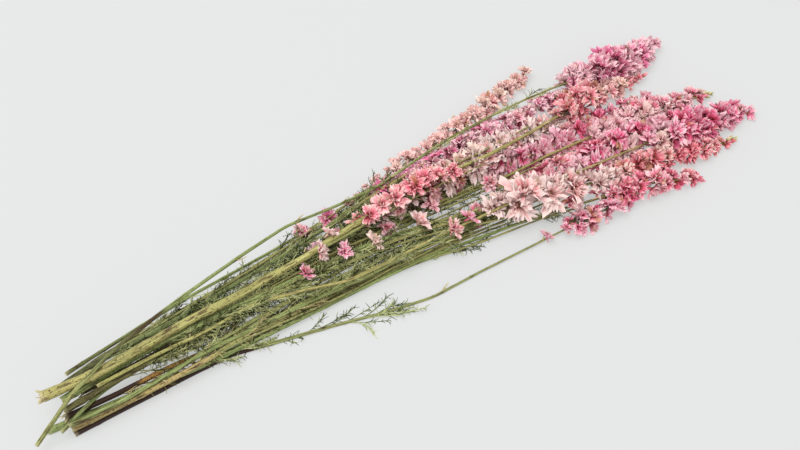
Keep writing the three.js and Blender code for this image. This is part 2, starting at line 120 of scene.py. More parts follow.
def plan_rings(stem):
    """Rings of a stem in plan, evenly spaced along a Catmull-Rom curve through its route, which is
    half of 2 b + (c - a) w + (2 a - 5 b + 4 c - d) w^2 + (3 b - a - 3 c + d) w^3 at a part w of the
    way from b to c. Each ring has its place, length along, radius, reach and least height."""
    route = np.array(stem["route"], float)
    ends = np.vstack([2 * route[0] - route[1], route, 2 * route[-1] - route[-2]])
    spans = len(route) - 1

    def at(share):
        """The places on the curve at parts of its whole, with as much of it for each span."""
        place = spans * np.asarray(share)
        i = np.minimum(np.floor(place).astype(int), spans - 1)
        w = (place - i)[:, None]
        a, b, c, d = ends[i], ends[i + 1], ends[i + 2], ends[i + 3]
        cubic = (3 * b - a - 3 * c + d) * w**3
        return 0.5 * (2 * b + (c - a) * w + (2 * a - 5 * b + 4 * c - d) * w**2 + cubic)

    share = np.linspace(0, 1, 601)
    steps = np.linalg.norm(np.diff(at(share), axis=0), axis=1)
    lengths = np.concatenate([[0], np.cumsum(steps)])
    stalk = lengths[-1] - stem["spike"]
    on_stalk = math.ceil(stalk / RING_STEP)
    on_spike = math.ceil(stem["spike"] / RING_STEP)
    i = np.arange(on_stalk + on_spike + 1)
    q = np.maximum(0, i - on_stalk) / on_spike
    along = stalk * np.minimum(1, i / on_stalk) + stem["spike"] * q
    base, tip = stem["thick"]
    radius = tip + (base - tip) * (1 - along / lengths[-1]) ** TAPER
    reach = np.where(i > on_stalk, BED * stem["floret"] * fullness(q), radius)
    floor = np.where(i > on_stalk, reach, radius * HEXAGON)
    plan = at(np.interp(along, lengths, share))
    return {"plan": plan, "along": along, "radius": radius, "reach": reach, "floor": floor,
            "stalk": stalk, "length": lengths[-1]}


def spread(values, steps):
    """Values in even steps from ring to ring, with the ring before each and the part of the way."""
    k = np.arange((len(values) - 1) * steps + 1)
    ring = np.minimum(k // steps, len(values) - 2)
    part = k / steps - ring
    mixed = values[ring].T * (1 - part) + values[ring + 1].T * part
    return mixed.T, ring, part


def settle(rings, pile):
    """Heights of a stem's rings on the pile. In each round a ring sinks to the middle of its
    neighbours less a sag, and is lifted where a point between rings is lower than the floor or than
    the root of (sum of reaches)^2 - (distance in plan)^2 over a stem below it."""
    plan, ring, part = spread(rings["plan"], TESTED_STEPS)
    reach = spread(rings["reach"], TESTED_STEPS)[0]
    need = spread(rings["floor"], TESTED_STEPS)[0]
    if pile:
        others = [np.concatenate([one[k] for one in pile]) for k in range(3)]
        across = np.linalg.norm(plan[:, None] - others[0][None], axis=2)
        apart = reach[:, None] + others[2][None] + STEM_CLEARANCE
        over = others[1][None] + np.sqrt(np.maximum(apart**2 - across**2, 0))
        need = np.maximum(need, np.where(across < apart, over, 0).max(axis=1))
    share = (1 - part) ** 2 + part**2

    def lifted(z):
        """Heights with both rings beside each point raised, so that the point is high enough."""
        short = np.maximum(need - (z[ring] * (1 - part) + z[ring + 1] * part), 0)
        rise = np.zeros_like(z)
        np.maximum.at(rise, ring, short * (1 - part) / share)
        np.maximum.at(rise, ring + 1, short * part / share)
        return z + rise

    z = rings["floor"].copy()
    for _ in range(SINKING_ROUNDS):
        sunk = z.copy()
        sunk[1:-1] = (z[:-2] + z[2:]) / 2 - SAG
        sunk[0] = min(z[0], 2 * z[1] - z[2]) - SAG / 2
        sunk[-1] = min(z[-1], 2 * z[-2] - z[-3]) - SAG / 2
        z = lifted(lifted(lifted(np.maximum(sunk, rings["floor"]))))
    for _ in range(LAST_LIFTS):
        z = lifted(z)
    return z


def smooth_line(rings):
    """The centre line of a stem at every millimetre: straight from ring to ring, with each corner
    rounded by the mean over a few millimetres to each side."""
    along = np.arange(0.0, rings["length"], 1.0)
    points = np.column_stack([rings["plan"] - PLAN_MIDDLE, rings["z"]])
    line = np.stack([np.interp(along, rings["along"], points[:, k]) for k in range(3)], axis=1)
    before = line[0] + (line[0] - line[1]) * np.arange(ROUNDED, 0, -1)[:, None]
    after = line[-1] + (line[-1] - line[-2]) * np.arange(1, ROUNDED + 1)[:, None]
    padded = np.vstack([before, line, after])
    sums = np.cumsum(np.vstack([np.zeros(3), padded]), axis=0)
    width = 2 * ROUNDED + 1
    return along, (sums[width:] - sums[:-width]) / width


def frames_at(stem, along):
    """Places, radius, and the forward, side and up directions of a stem at lengths along it, in
    metres: side is level, and up is at right angles to forward and side."""
    along = np.atleast_1d(np.asarray(along, float))
    table, line = stem["line"]
    place = np.stack([np.interp(along, table, line[:, k]) for k in range(3)], axis=1)
    ahead = np.gradient(line, axis=0)
    forward = unit(np.stack([np.interp(along, table, ahead[:, k]) for k in range(3)], axis=1))
    side = unit(np.cross([0, 0, 1], forward))
    up = np.cross(forward, side)
    radius = np.interp(along, stem["along"], stem["radius"])
    return place * MM, radius * MM, forward, side, up


laid_so_far = []
for stem in STEMS.values():
    stem.update(plan_rings(stem))
    stem["z"] = settle(stem, laid_so_far)
    laid_so_far.append([spread(stem[key], PILE_STEPS)[0] for key in ("plan", "z", "reach")])
    stem["line"] = smooth_line(stem)


# Stalks
# Each stalk is a dried hollow stem, round with fine ridges along it, a little swollen where a leaf
# grew, and cut across at its end, where the pale wall shows and the bottom of the hollow inside it
# is painted dark as painted shade.

STALK_SIDES = 14
STALK_STEP = 4.0  # length from ring to ring
ROUND_STALK = np.linspace(0, 2 * math.pi, STALK_SIDES, endpoint=False)[None]
NODE_STEP = 52.0  # length from node to node, where leaves grew
NODE_STRAY = 14.0  # how far a node may lie to either side of its even place
SWELLING = (0.18, 3.0)  # how far a node swells, in radii, and the length that it swells over
SCAR = (0.85, 4.0, 0.35)  # how dark the scar of a leaf is, its length, and its spread round
STUBS_KEPT = 0.4  # the share of the nodes that keep the stub of a leaf
MOUTH = (0.62, 0.3)  # the hollow of the cut end at its mouth: its radius, in radii, and its depth
HOLLOW = (0.56, 3.5)  # the same at its bottom
STALK_FINISH = {
    "low_edge": "stem_blackish", "near_green": "stem_green", "far_edge": "stem_green",
    "rust": "stem_rust", "brown": "stem_rust", "thin_green": "stem_green",
    "under_mid": "stem_olive", "low_pair": "stem_green", "second_far": "stem_olive",
    "leafy_back": "stem_dark_green", "olive": "stem_olive", "leafy_mid": "stem_dark_green",
    "bright": "stem_green", "pale_thin": "stem_pale_green", "thick": "stem_pale_green",
    "cross": "stem_green",
}


def linear(code):
    """A colour of six hex digits as linear red, green, blue and 1, by the curve of sRGB."""
    share = np.array([int(code[k:k + 2], 16) for k in (0, 2, 4)]) / 255
    low = share / 12.92
    high = ((share + 0.055) / 1.055) ** 2.4
    return [*np.where(share <= 0.04045, low, high), 1.0]


def above_floor(points, softness):
    """Points kept over the floor: below the softness h, a height z becomes h exp(z / h - 1)."""
    z = points[..., 2]
    points[..., 2] = np.where(z < softness, softness * np.exp(z / softness - 1), z)
    return points


def make_piece(name, points, faces, material, values, nodes=(), crease=55):
    """A piece from points, a list of face arrays, and values kept at each point as attributes. It
    stands for the CAD nodes that are named, and an edge is sharp where its faces turn by more than
    the crease, in degrees."""
    mesh = bpy.data.meshes.new(name)
    points = np.asarray(points, np.float32).reshape(-1, 3)
    corners = np.concatenate([np.asarray(f, np.int32).ravel() for f in faces])
    sizes = np.concatenate([np.full(len(f), f.shape[1], np.int32) for f in faces])
    starts = np.concatenate([[0], np.cumsum(sizes)[:-1]]).astype(np.int32)
    mesh.vertices.add(len(points))
    mesh.vertices.foreach_set("co", points.ravel())
    mesh.loops.add(len(corners))
    mesh.loops.foreach_set("vertex_index", corners)
    mesh.polygons.add(len(sizes))
    mesh.polygons.foreach_set("loop_start", starts)
    mesh.update(calc_edges=True)
    for key, value in values.items():
        layer = mesh.attributes.new(key, "FLOAT", "POINT")
        layer.data.foreach_set("value", np.asarray(value, np.float32).ravel())
    mesh.polygons.foreach_set("use_smooth", np.ones(len(sizes), bool))
    mesh.set_sharp_from_angle(angle=math.radians(crease))
    mesh.materials.append(material)
    piece = bpy.data.objects.new(name, mesh)
    bpy.context.scene.collection.objects.link(piece)
    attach(piece, "root")
    if nodes:
        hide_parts(*nodes)


def new_group(name, inputs, outputs):
    """A shader node group with named sockets, given as name to (kind, default). Returns the group,
    what comes in by name, and what goes out by name."""
    group = bpy.data.node_groups.new(name, "ShaderNodeTree")
    for direction, sockets in (("INPUT", inputs), ("OUTPUT", outputs)):
        for label, (kind, default) in sockets.items():
            socket = group.interface.new_socket(label, in_out=direction, socket_type=kind)
            if direction == "INPUT":
                socket.default_value = default
    start = group.nodes.new("NodeGroupInput")
    end = group.nodes.new("NodeGroupOutput")
    return group, start.outputs, end.inputs


class Wiring:
    """Short calls that add nodes to a tree and join them. Each takes numbers or sockets."""

    def __init__(self, tree):
        self.tree = tree

    def put(self, socket, value):
        """Joins a socket to another, or sets it."""
        if isinstance(value, bpy.types.NodeSocket):
            self.tree.links.new(value, socket)
        elif value is not None:
            socket.default_value = value

    def maths(self, operation, a, b=None, clamp=False):
        """An operation on one value or on two."""
        node = self.tree.nodes.new("ShaderNodeMath")
        node.operation = operation
        node.use_clamp = clamp
        for socket, value in zip(node.inputs, (a, b)):
            self.put(socket, value)
        return node.outputs[0]

    def plus(self, a, b, clamp=False):
        return self.maths("ADD", a, b, clamp)

    def minus(self, a, b):
        return self.maths("SUBTRACT", a, b)

    def times(self, a, b):
        return self.maths("MULTIPLY", a, b)

    def most(self, a, b):
        """The greater of two values."""
        return self.maths("MAXIMUM", a, b)

    def varied(self, value, pattern, amount, clamp=False):
        """value + amount (pattern - 0.5), for a pattern that runs about 0.5."""
        return self.plus(value, self.times(self.minus(pattern, 0.5), amount), clamp)

    def mix(self, factor, a, b):
        """The colour a where the factor is 0, and b where it is 1."""
        node = self.tree.nodes.new("ShaderNodeMix")
        node.data_type = "RGBA"
        self.put(node.inputs["Factor"], factor)
        self.put(node.inputs[6], a)
        self.put(node.inputs[7], b)
        return node.outputs[2]

    def value_of(self, name):
        """The value that a piece's points keep under a name."""
        node = self.tree.nodes.new("ShaderNodeAttribute")
        node.attribute_name = name
        return node.outputs["Fac"]

    def vector(self, x, y, z):
        node = self.tree.nodes.new("ShaderNodeCombineXYZ")
        for socket, value in zip(node.inputs, (x, y, z)):
            self.put(socket, value)
        return node.outputs[0]

    def noise(self, vector, scale, detail):
        """Soft noise about 0.5, in a pattern that gets finer with the scale and the detail."""
        node = self.tree.nodes.new("ShaderNodeTexNoise")
        self.put(node.inputs["Vector"], vector)
        self.put(node.inputs["Scale"], scale)
        self.put(node.inputs["Detail"], detail)
        self.put(node.inputs["Roughness"], 0.55)
        return node.outputs["Fac"]

    def band(self, value, low, high):
        """0 where a value is low, 1 where it is high, and even in between."""
        node = self.tree.nodes.new("ShaderNodeMapRange")
        node.clamp = True
        self.put(node.inputs["Value"], value)
        self.put(node.inputs["From Min"], low)
        self.put(node.inputs["From Max"], high)
        return node.outputs["Result"]

    def place(self):
        """Where a point is, in metres."""
        return self.tree.nodes.new("ShaderNodeTexCoord").outputs["Object"]


def finish_material(name, group, values, roughness, relief, gloss):
    """A material with a group's Color and Height on a Principled BSDF, and its Rough where the
    roughness changes over the surface."""
    material = bpy.data.materials.new(name)
    material.use_nodes = True
    tree = material.node_tree
    shader = tree.nodes["Principled BSDF"]
    node = tree.nodes.new("ShaderNodeGroup")
    node.node_tree = group
    for label, value in values.items():
        node.inputs[label].default_value = value
    bump = tree.nodes.new("ShaderNodeBump")
    bump.inputs["Strength"].default_value = relief
    bump.inputs["Distance"].default_value = 0.4 * MM
    tree.links.new(node.outputs["Height"], bump.inputs["Height"])
    tree.links.new(bump.outputs["Normal"], shader.inputs["Normal"])
    tree.links.new(node.outputs["Color"], shader.inputs["Base Color"])
    shader.inputs["Roughness"].default_value = roughness
    if "Rough" in node.outputs:
        node.inputs["Roughness"].default_value = roughness
        tree.links.new(node.outputs["Rough"], shader.inputs["Roughness"])
    shader.inputs["Specular IOR Level"].default_value = gloss
    return material


COLOUR = "NodeSocketColor"
NUMBER = "NodeSocketFloat"

dry_stalk, given, made = new_group("dry_stalk", {
    "Skin": (COLOUR, linear("8a8c43")),
    "Pale streak": (COLOUR, linear("d0cc8c")),
    "Withered": (COLOUR, linear("4c3820")),
    "Pith": (COLOUR, linear("d9cfa6")),
    "Straw": (COLOUR, linear("b5a56c")),
    "Green": (COLOUR, linear("64793a")),
    "Green streak": (COLOUR, linear("b4bd80")),
    "Flecks": (NUMBER, 0.3),
    "Blotches": (NUMBER, 0.3),
    "Roughness": (NUMBER, 0.6),
}, {"Color": (COLOUR, None), "Rough": (NUMBER, None), "Height": (NUMBER, None)})
w = Wiring(dry_stalk)
around, along, aged, pith, straw, fresh = (
    w.value_of(k) for k in ("around", "along", "aged", "pith", "straw", "fresh"))
# Noise for the fine fibres, the blotches and the flecks, each with how fine it is round a stalk and
# along it, where it starts, and its detail
fibre, patch, speck = (
    w.noise(w.vector(w.times(around, fine_round), w.times(along, fine_along), start), 1, detail)
    for fine_round, fine_along, start, detail in ((22, 14, 0, 4), (3.5, 60, 5, 4), (9, 330, 3, 2)))
streak = w.band(fibre, 0.38, 0.68)
skin = w.mix(streak, given["Skin"], given["Pale streak"])
skin = w.mix(fresh, skin, w.mix(streak, given["Green"], given["Green streak"]))
turned = w.times(w.band(w.varied(straw, fibre, 0.7), 0.1, 0.8), w.band(straw, 0.0, 0.2))
skin = w.mix(turned, skin, given["Straw"])
furrow = w.times(w.band(fibre, 0.46, 0.33), 0.55)
blotch = w.times(w.band(patch, 0.55, 0.61), given["Blotches"])
fleck = w.times(w.band(speck, 0.59, 0.63), given["Flecks"])
# worn is withering along the stalk, and painted shade at the bottom of the hollow of a cut end
worn = w.times(w.band(w.varied(aged, patch, 1.3), 0.25, 0.75), w.band(aged, 0.02, 0.2))
for share in (furrow, blotch, fleck, worn):
    skin = w.mix(share, skin, given["Withered"])
w.put(made["Color"], w.mix(pith, skin, given["Pith"]))
w.put(made["Rough"], w.varied(given["Roughness"], fibre, 0.3))
w.put(made["Height"], w.plus(fibre, w.times(patch, 0.6)))

# The colours of the skin, its pale streaks and where it has withered, a colour that also stands as
# painted shade at the bottom of the hollow of a cut end, and the shares of the flecks and blotches
STALK_COLOURS = {
    "stem_pale_green": ("8a8c43", "d0cc8c", "4c3820", 0.9, 0.8),
    "stem_green": ("607a36", "b8c384", "463820", 0.8, 0.75),
    "stem_dark_green": ("506436", "a0aa6e", "35301d", 0.7, 0.75),
    "stem_olive": ("6c7236", "b8b878", "3f321c", 0.8, 0.8),
    "stem_rust": ("875b28", "c6a05a", "382518", 0.9, 0.85),
    "stem_blackish": ("707c40", "b2b47c", "35241f", 0.6, 0.6),
}
stalk_materials = {
    slot: finish_material(slot, dry_stalk, {
        "Skin": linear(skin), "Pale streak": linear(streak), "Withered": linear(withered),
        "Flecks": flecks, "Blotches": blotches}, roughness=0.6, relief=0.8, gloss=0.3)
    for slot, (skin, streak, withered, flecks, blotches) in STALK_COLOURS.items()
}

# How withered each stalk is: amount, and the lengths in millimetres that it lies between
WITHERED = {
    "low_edge": [(1.0, -20, 165)], "brown": [(0.4, -20, 60), (0.35, 120, 300)],
    "rust": [(1.0, -20, 62), (0.35, 150, 260)], "thick": [(0.4, 55, 125), (0.3, 150, 215)],
    "olive": [(0.55, -20, 105)], "under_mid": [(0.75, -20, 110)], "second_far": [(0.6, -20, 120)],
    "leafy_back": [(0.6, -20, 90)], "cross": [(0.5, 62, 100), (0.8, 96, 146)],
    "far_edge": [(0.5, -20, 80)], "leafy_mid": [(0.5, -20, 80)], "low_pair": [(0.45, -20, 50)],
    "thin_green": [(0.35, -20, 60)],
}
# How far each stalk has turned to straw, in the same way
STRAW = {
    "cross": [(0.3, -20, 75)], "brown": [(0.75, -20, 130), (0.3, 110, 420)],
    "rust": [(0.3, 200, 400)], "pale_thin": [(0.35, 120, 560)], "thick": [(0.3, -20, 60)],
}
# How far the flowering part of a stalk turns to straw at the most, where that isn't the usual
STRAW_TIPS = {"cross": 0.35, "low_edge": 0.2, "near_green": 0.3, "far_edge": 0.4}
USUAL_STRAW_TIP = 0.8
STRAW_BEFORE = 110.0  # how far before that part it begins to turn
STRAW_OVER = 150.0  # the length over which it would turn to straw altogether
# How far the two brown stalks are still green, in the same way
STILL_GREEN = {"rust": [(0.9, 190, 900)], "brown": [(0.85, 105, 900)]}
FADE = 25.0  # length over which such an amount begins and ends

# The part of its thickness that a stalk has lost at its tip by drying, where that isn't the usual
SHRUNK = {"thick": 0.15}
USUAL_SHRUNK = 0.06
# How many splinters stand at the cut ends that were torn
TORN = {"thick": 9, "under_mid": 4, "rust": 4}
# Side stalks: the lengths along the stem that they leave it at and end at, and how far they stand
# off in millimetres, to the far side or, where negative, to the near side
SIDE_STALKS = {
    "olive": [(120, 410, 7), (215, 505, -6), (250, 430, 3)],
    "under_mid": [(120, 385, -6), (150, 370, 5)],
    "low_pair": [(170, 470, 6), (215, 480, -5), (90, 400, 10), (110, 385, 15),
                 (150, 440, 20), (190, 420, 13)],
    "near_green": [(150, 430, 6), (190, 470, 3), (300, 500, -4)],
    "rust": [(200, 470, 5), (230, 500, -5)], "leafy_mid": [(80, 330, 6)],
    "bright": [(110, 392, -7), (60, 300, 6), (180, 430, -12), (150, 395, -4)],
    "brown": [(140, 420, 7), (110, 330, -5), (250, 480, -7)], "thin_green": [(60, 310, -6)],
    "leafy_back": [(40, 300, 6)], "second_far": [(30, 250, -5)],
    "thick": [(225, 430, -8), (300, 500, 6)],
}


def in_bands(bands, along):
    """The most of several amounts at lengths s. Each is its level from a start to an end, times a
    rise and a fall: clip((s - start) / FADE + 0.5) and clip((end - s) / FADE + 0.5)."""
    amount = np.zeros_like(along)
    for level, start, end in bands:
        begun = np.clip((along - start) / FADE + 0.5, 0, 1)
        left = np.clip((end - along) / FADE + 0.5, 0, 1)
        amount = np.maximum(amount, level * (begun * left))
    return amount


def arcs(root, direction, towards, length, bend, points):
    """Arcs of a circle: at a part s of its length an arc is at root + L / b (sin(b s) direction +
    (1 - cos(b s)) towards). Returns the points, the tangents and the axis that they turn round."""
    s = np.linspace(0, 1, points)
    bend = np.where(np.abs(bend) < 0.01, 0.01, bend)
    angle = bend[..., None] * s
    scale = (length / bend)[..., None, None]
    sine, cosine = np.sin(angle)[..., None], np.cos(angle)[..., None]
    direction, towards = direction[..., None, :], towards[..., None, :]
    line = root[..., None, :] + scale * (sine * direction + (1 - cosine) * towards)
    tangent = cosine * direction + sine * towards
    axis = np.broadcast_to(np.cross(direction, towards), tangent.shape)
    return line, tangent, axis


def across_from(directions, wanted):
    """Unit vectors at right angles to directions, as near as can be to the wanted ones."""
    return unit(wanted - (wanted * directions).sum(axis=-1, keepdims=True) * directions)


def beside(directions, draw):
    """Unit vectors at right angles to directions, each turned at random about its own."""
    return across_from(directions, draw.normal(size=directions.shape))


def leaning(forward, side, up, lean, turn):
    """Directions at an angle lean from forward, turned round it: cos(lean) forward + sin(lean)
    (sin(turn) side + cos(turn) up)."""
    lean, turn = np.broadcast_arrays(lean, turn)
    outward = np.sin(turn)[..., None] * side + np.cos(turn)[..., None] * up
    return np.cos(lean)[..., None] * forward + np.sin(lean)[..., None] * outward


def tubes(lines, tangents, axes, radii, sides):
    """Closed tubes along lines: at each point a ring of corners, radius times (cos t axis + sin t
    (tangent x axis)), joined to the next, with a flat face on both ends."""
    turn = np.linspace(0, 2 * math.pi, sides, endpoint=False)
    other = np.cross(tangents, axes)
    ring = axes[..., None, :] * np.cos(turn)[:, None]
    ring = ring + other[..., None, :] * np.sin(turn)[:, None]
    points = (lines[..., None, :] + radii[..., None, None] * ring).reshape(-1, 3)
    steps = lines.shape[-2]
    count = lines.reshape(-1, steps, 3).shape[0]
    index = np.arange(count * steps * sides).reshape(count, steps, sides)
    after = np.roll(index, -1, axis=2)
    quads = np.stack([index[:, :-1], after[:, :-1], after[:, 1:], index[:, 1:]], axis=-1)
    ends = np.concatenate([index[:, 0, ::-1], index[:, -1]])
    return points, [quads.reshape(-1, 4), ends]


def joined(shapes):
    """Several shapes of points, faces and values as one."""
    offset, points, faces, values = 0, [], [], {}
    for shape_points, shape_faces, shape_values in shapes:
        points.append(shape_points)
        faces += [face + offset for face in shape_faces]
        offset += len(shape_points)
        for key, value in shape_values.items():
            values.setdefault(key, []).append(value)
    return np.concatenate(points), faces, {k: np.concatenate(v) for k, v in values.items()}


def torn_bits(root, way, length, thick, seed, draw):
    """Dry pale bits on a stalk, as arcs that taper: stubs of fallen leaves, and splinters."""
    count, points, sides = len(root), 5, 5
    line, tangent, axis = arcs(root, way, beside(way, draw), length, draw.uniform(0.1, 0.9, count),
                               points)
    taper = np.array([1.0, 1.0, 0.9, 0.8, 0.5])
    radii = thick[:, None] * taper * draw.uniform(0.7, 1.2, (count, points))
    shape = tubes(line, tangent, axis, radii, sides)
    each = count * points * sides
    pith = np.tile(np.repeat([0.1, 0.35, 0.5, 0.75, 0.9], sides), count)
    aged = np.repeat(draw.uniform(0, 0.5, count), points * sides)
    return (*shape, {"around": draw.uniform(0, 1, each), "along": draw.uniform(0, 1, each) + seed,
                     "aged": aged, "pith": pith, "straw": np.ones(each), "fresh": np.zeros(each)})


def leaf_stubs(stem, nodes, facing, seed, draw):
    """Stubs that stand out and ahead at some of the nodes, each on the side of its scar."""
    kept = draw.uniform(0, 1, len(nodes)) < STUBS_KEPT
    if not kept.any():
        return []
    many = kept.sum()
    foot, wide, ahead, aside, above = frames_at(stem, nodes[kept])
    out = leaning(ahead, aside, above, np.pi / 2, np.pi / 2 - facing[kept])
    way = unit(ahead + draw.uniform(0.5, 1.4, many)[:, None] * out)
    length = draw.uniform(4, 9, many) * MM
    thick = draw.uniform(0.5, 0.9, many) * MM
    return [torn_bits(foot + 0.8 * wide[:, None] * out, way, length, thick, seed, draw)]


def splinters(count, middle, frames, seed, draw):
    """Splinters in even turns round a torn cut end, which stand out from it."""
    _, radius, forward, side, up = (values[:1] for values in frames)
    out = leaning(forward, side, up, np.pi / 2, np.linspace(0, 2 * math.pi, count, endpoint=False))
    way = unit(draw.uniform(0.1, 0.8, count)[:, None] * out - forward)
    length = draw.uniform(4, 9, count) * MM
    thick = radius * draw.uniform(0.15, 0.36, count)
    foot = middle[0] + 0.5 * radius * out + forward * 3 * MM
    return torn_bits(foot, way, length, thick, seed, draw)


def side_stalk(stem, start, end, off, seed, draw):
    """A thin stalk beside a stem: at a part s of its length it stands off to the side by
    off (1 - (1 - s)^3), wavers by sines of s, and thins from 1.4 mm to 0.7 mm."""
    count, sides = 48, 7
    s = np.linspace(0, 1, count)
    place, _, _, side, up = frames_at(stem, start + s * (end - start))
    aside = off * (1 - (1 - s) ** 3) + 0.9 * np.sin(9 * s + draw.uniform(0, 6))
    rise = 0.8 * s + 0.7 * np.sin(7 * s + draw.uniform(0, 6))
    line = place + MM * (aside[:, None] * side + rise[:, None] * up)
    tangent = unit(np.gradient(line, axis=0))
    axis = across_from(tangent, side)
    thin = (1.4 - 0.7 * s + 0.08 * np.sin(40 * s)) * MM
    points, faces = tubes(line[None], tangent[None], axis[None], thin[None], sides)
    each = count * sides
    return (points, faces, {
        "around": np.tile(np.abs(np.linspace(-1, 1, sides)), count),
        "along": np.repeat((start + s * (end - start)) * MM, sides) + seed + 0.5,
        "aged": np.full(each, 0.12), "pith": np.zeros(each),
        "straw": np.repeat(0.15 + 0.4 * s, sides), "fresh": np.ones(each)})


def stalk_form(name, stem, along, frames, draw):
    """A stalk at lengths s and angles t. Its radius is R(s), shrunk by the root of s, times 1 plus
    ridges (cos 5 t and cos 9 t), slow waves, and a swelling exp(-(d / 3 mm)^2) at distance d from
    each node. Its middle is a little out of line at each node. Returns the nodes, the middles, and
    the way from each middle to the corners of its ring."""
    place, radius, _, side, up = frames
    s = along[:, None]
    ridge = 0.05 * np.cos(5 * ROUND_STALK + draw.uniform(0, 6))
    ridge = ridge + 0.035 * np.cos(9 * ROUND_STALK + s / 90)
    uneven = 0.03 * np.sin(s / 17 + 2 * ROUND_STALK + draw.uniform(0, 6))
    uneven = uneven + 0.05 * np.sin(s / 31 + ROUND_STALK + draw.uniform(0, 6))
    nodes = np.arange(draw.uniform(10, 40), stem["stalk"], NODE_STEP)
    nodes = nodes + draw.uniform(-NODE_STRAY, NODE_STRAY, len(nodes))
    rise, reach = SWELLING
    swelling = rise * np.exp(-(((s - nodes[None]) / reach) ** 2)).sum(axis=1)[:, None]
    shrunk = 1 - SHRUNK.get(name, USUAL_SHRUNK) * np.sqrt(s / stem["length"])
    shape = radius[:, None] * shrunk * (1 + ridge + uneven + swelling)
    crooked = [np.interp(along, nodes, draw.normal(0, 0.3, len(nodes)))[:, None] for _ in range(2)]
    middle = place + radius[:, None] * (crooked[0] * side + 0.5 * crooked[1] * up)
    outward = side[:, None] * np.cos(ROUND_STALK)[..., None]
    outward = outward + up[:, None] * np.sin(ROUND_STALK)[..., None]
    return nodes, middle, shape[..., None] * outward


def stalk_faces(rows):
    """Quads from row to row of corners, and fans from the first and the last row to a point each,
    which come after all the rows."""
    index = np.arange(rows * STALK_SIDES).reshape(rows, STALK_SIDES)
    after = np.roll(index, -1, axis=1)
    quads = np.stack([index[:-1], after[:-1], after[1:], index[1:]], axis=-1).reshape(-1, 4)
    first, last = rows * STALK_SIDES, rows * STALK_SIDES + 1
    fans = np.concatenate([
        np.stack([after[0], index[0], np.full(STALK_SIDES, first)], axis=-1),
        np.stack([index[-1], after[-1], np.full(STALK_SIDES, last)], axis=-1)])
    return [quads, fans]


def stalk_values(name, stem, along, nodes, facing, seed):
    """What the finish follows at each corner. Around goes from 1 to 0 and back round the stalk, and
    a scar is exp(-(d / 4 mm)^2) exp(-2 sin^2(t / 2) / 0.35) at distance d and angle t from it."""
    depth, length, spread_round = SCAR
    near = np.exp(-(((along[:, None] - nodes[None]) / length) ** 2))
    side_on = np.exp(-(2 * np.sin((ROUND_STALK[0][:, None] - facing) / 2) ** 2 / spread_round))
    scars = depth * (near[:, None] * side_on[None]).sum(axis=2)
    aged = np.maximum(in_bands(WITHERED.get(name, []), along)[:, None], scars)
    straw_tip = STRAW_TIPS.get(name, USUAL_STRAW_TIP)
    straw = np.maximum(in_bands(STRAW.get(name, []), along),
                       np.clip((along - stem["stalk"] + STRAW_BEFORE) / STRAW_OVER, 0, straw_tip))
    green = in_bands(STILL_GREEN.get(name, []), along)

    def at_corners(bottom, mouth, outside, tip=0.0):
        """A value at the bottom and the mouth of the hollow, outside, and at the two end points."""
        ends = [np.full((1, STALK_SIDES), level) for level in (bottom, mouth)]
        outside = np.broadcast_to(outside, (len(along), STALK_SIDES))
        return np.append(np.concatenate([*ends, outside]).ravel(), [bottom, tip])

    to_turn = np.abs(ROUND_STALK / (2 * math.pi) * 2 - 1)
    return {
        "around": np.append(np.broadcast_to(to_turn, (len(along) + 2, STALK_SIDES)), [0, 0]),
        "along": at_corners(HOLLOW[1], MOUTH[1], along[:, None], stem["length"]) * MM + seed,
        # The bottom of the hollow takes the whole withered colour, as painted shade
        "aged": at_corners(1.0, 0.0, aged),
        "pith": at_corners(0.0, 1.0, np.where(along == 0, 0.35, 0)[:, None]),
        "straw": at_corners(0.0, 0.0, straw[:, None]),
        "fresh": at_corners(0.0, 0.0, green[:, None]),
    }


def make_stalk(name, stem, seed):
    """A stalk with its side stalks. Its cut end is slanted and rough and turns inwards as a wall
    and a hollow, its tip closes to a point, and it keeps the stubs of some leaves."""
    draw = np.random.default_rng(seed)
    along = np.arange(0.0, stem["length"] - 1.0, STALK_STEP)
    frames = frames_at(stem, along)
    forward = frames[2]
    nodes, middle, spokes = stalk_form(name, stem, along, frames, draw)
    slant = draw.uniform(-0.9, 0.9) * MM * np.cos(ROUND_STALK + draw.uniform(0, 6))
    slant = (slant + draw.normal(0, 0.35, slant.shape) * MM)[0][:, None]
    rings = middle[:, None] + spokes
    rings[0] += forward[0] * slant
    inner = [middle[0] + spokes[0] * share + forward[0] * (slant + depth * MM)
             for share, depth in (HOLLOW, MOUTH)]
    grid = np.concatenate([inner, rings])
    ends = [middle[0] + forward[0] * HOLLOW[1] * MM, middle[-1] + forward[-1] * MM]
    facing = draw.uniform(0, 2 * math.pi, len(nodes))
    values = stalk_values(name, stem, along, nodes, facing, seed)
    shapes = [(np.concatenate([grid.reshape(-1, 3), ends]), stalk_faces(len(grid)), values)]
    shapes += leaf_stubs(stem, nodes, facing, seed, draw)
    for start, end, off in SIDE_STALKS.get(name, []):
        shapes.append(side_stalk(stem, start, end, off, seed, draw))
    if name in TORN:
        shapes.append(splinters(TORN[name], middle, frames, seed, draw))
    points, faces, values = joined(shapes)
    slot = STALK_FINISH[name]
    make_piece(f"stalk_{name}", above_floor(points, 0.4 * MM), faces, stalk_materials[slot],
               values, [f"stem_{name}"], crease=70)


for seed, (name, stem) in enumerate(STEMS.items()):
    make_stalk(name, stem, seed)


# Leaves
# The leaves of larkspur grow from the nodes of a stalk and are cut into fine threads. Dried, they
# curl and mat between the stalks as dull green tufts.

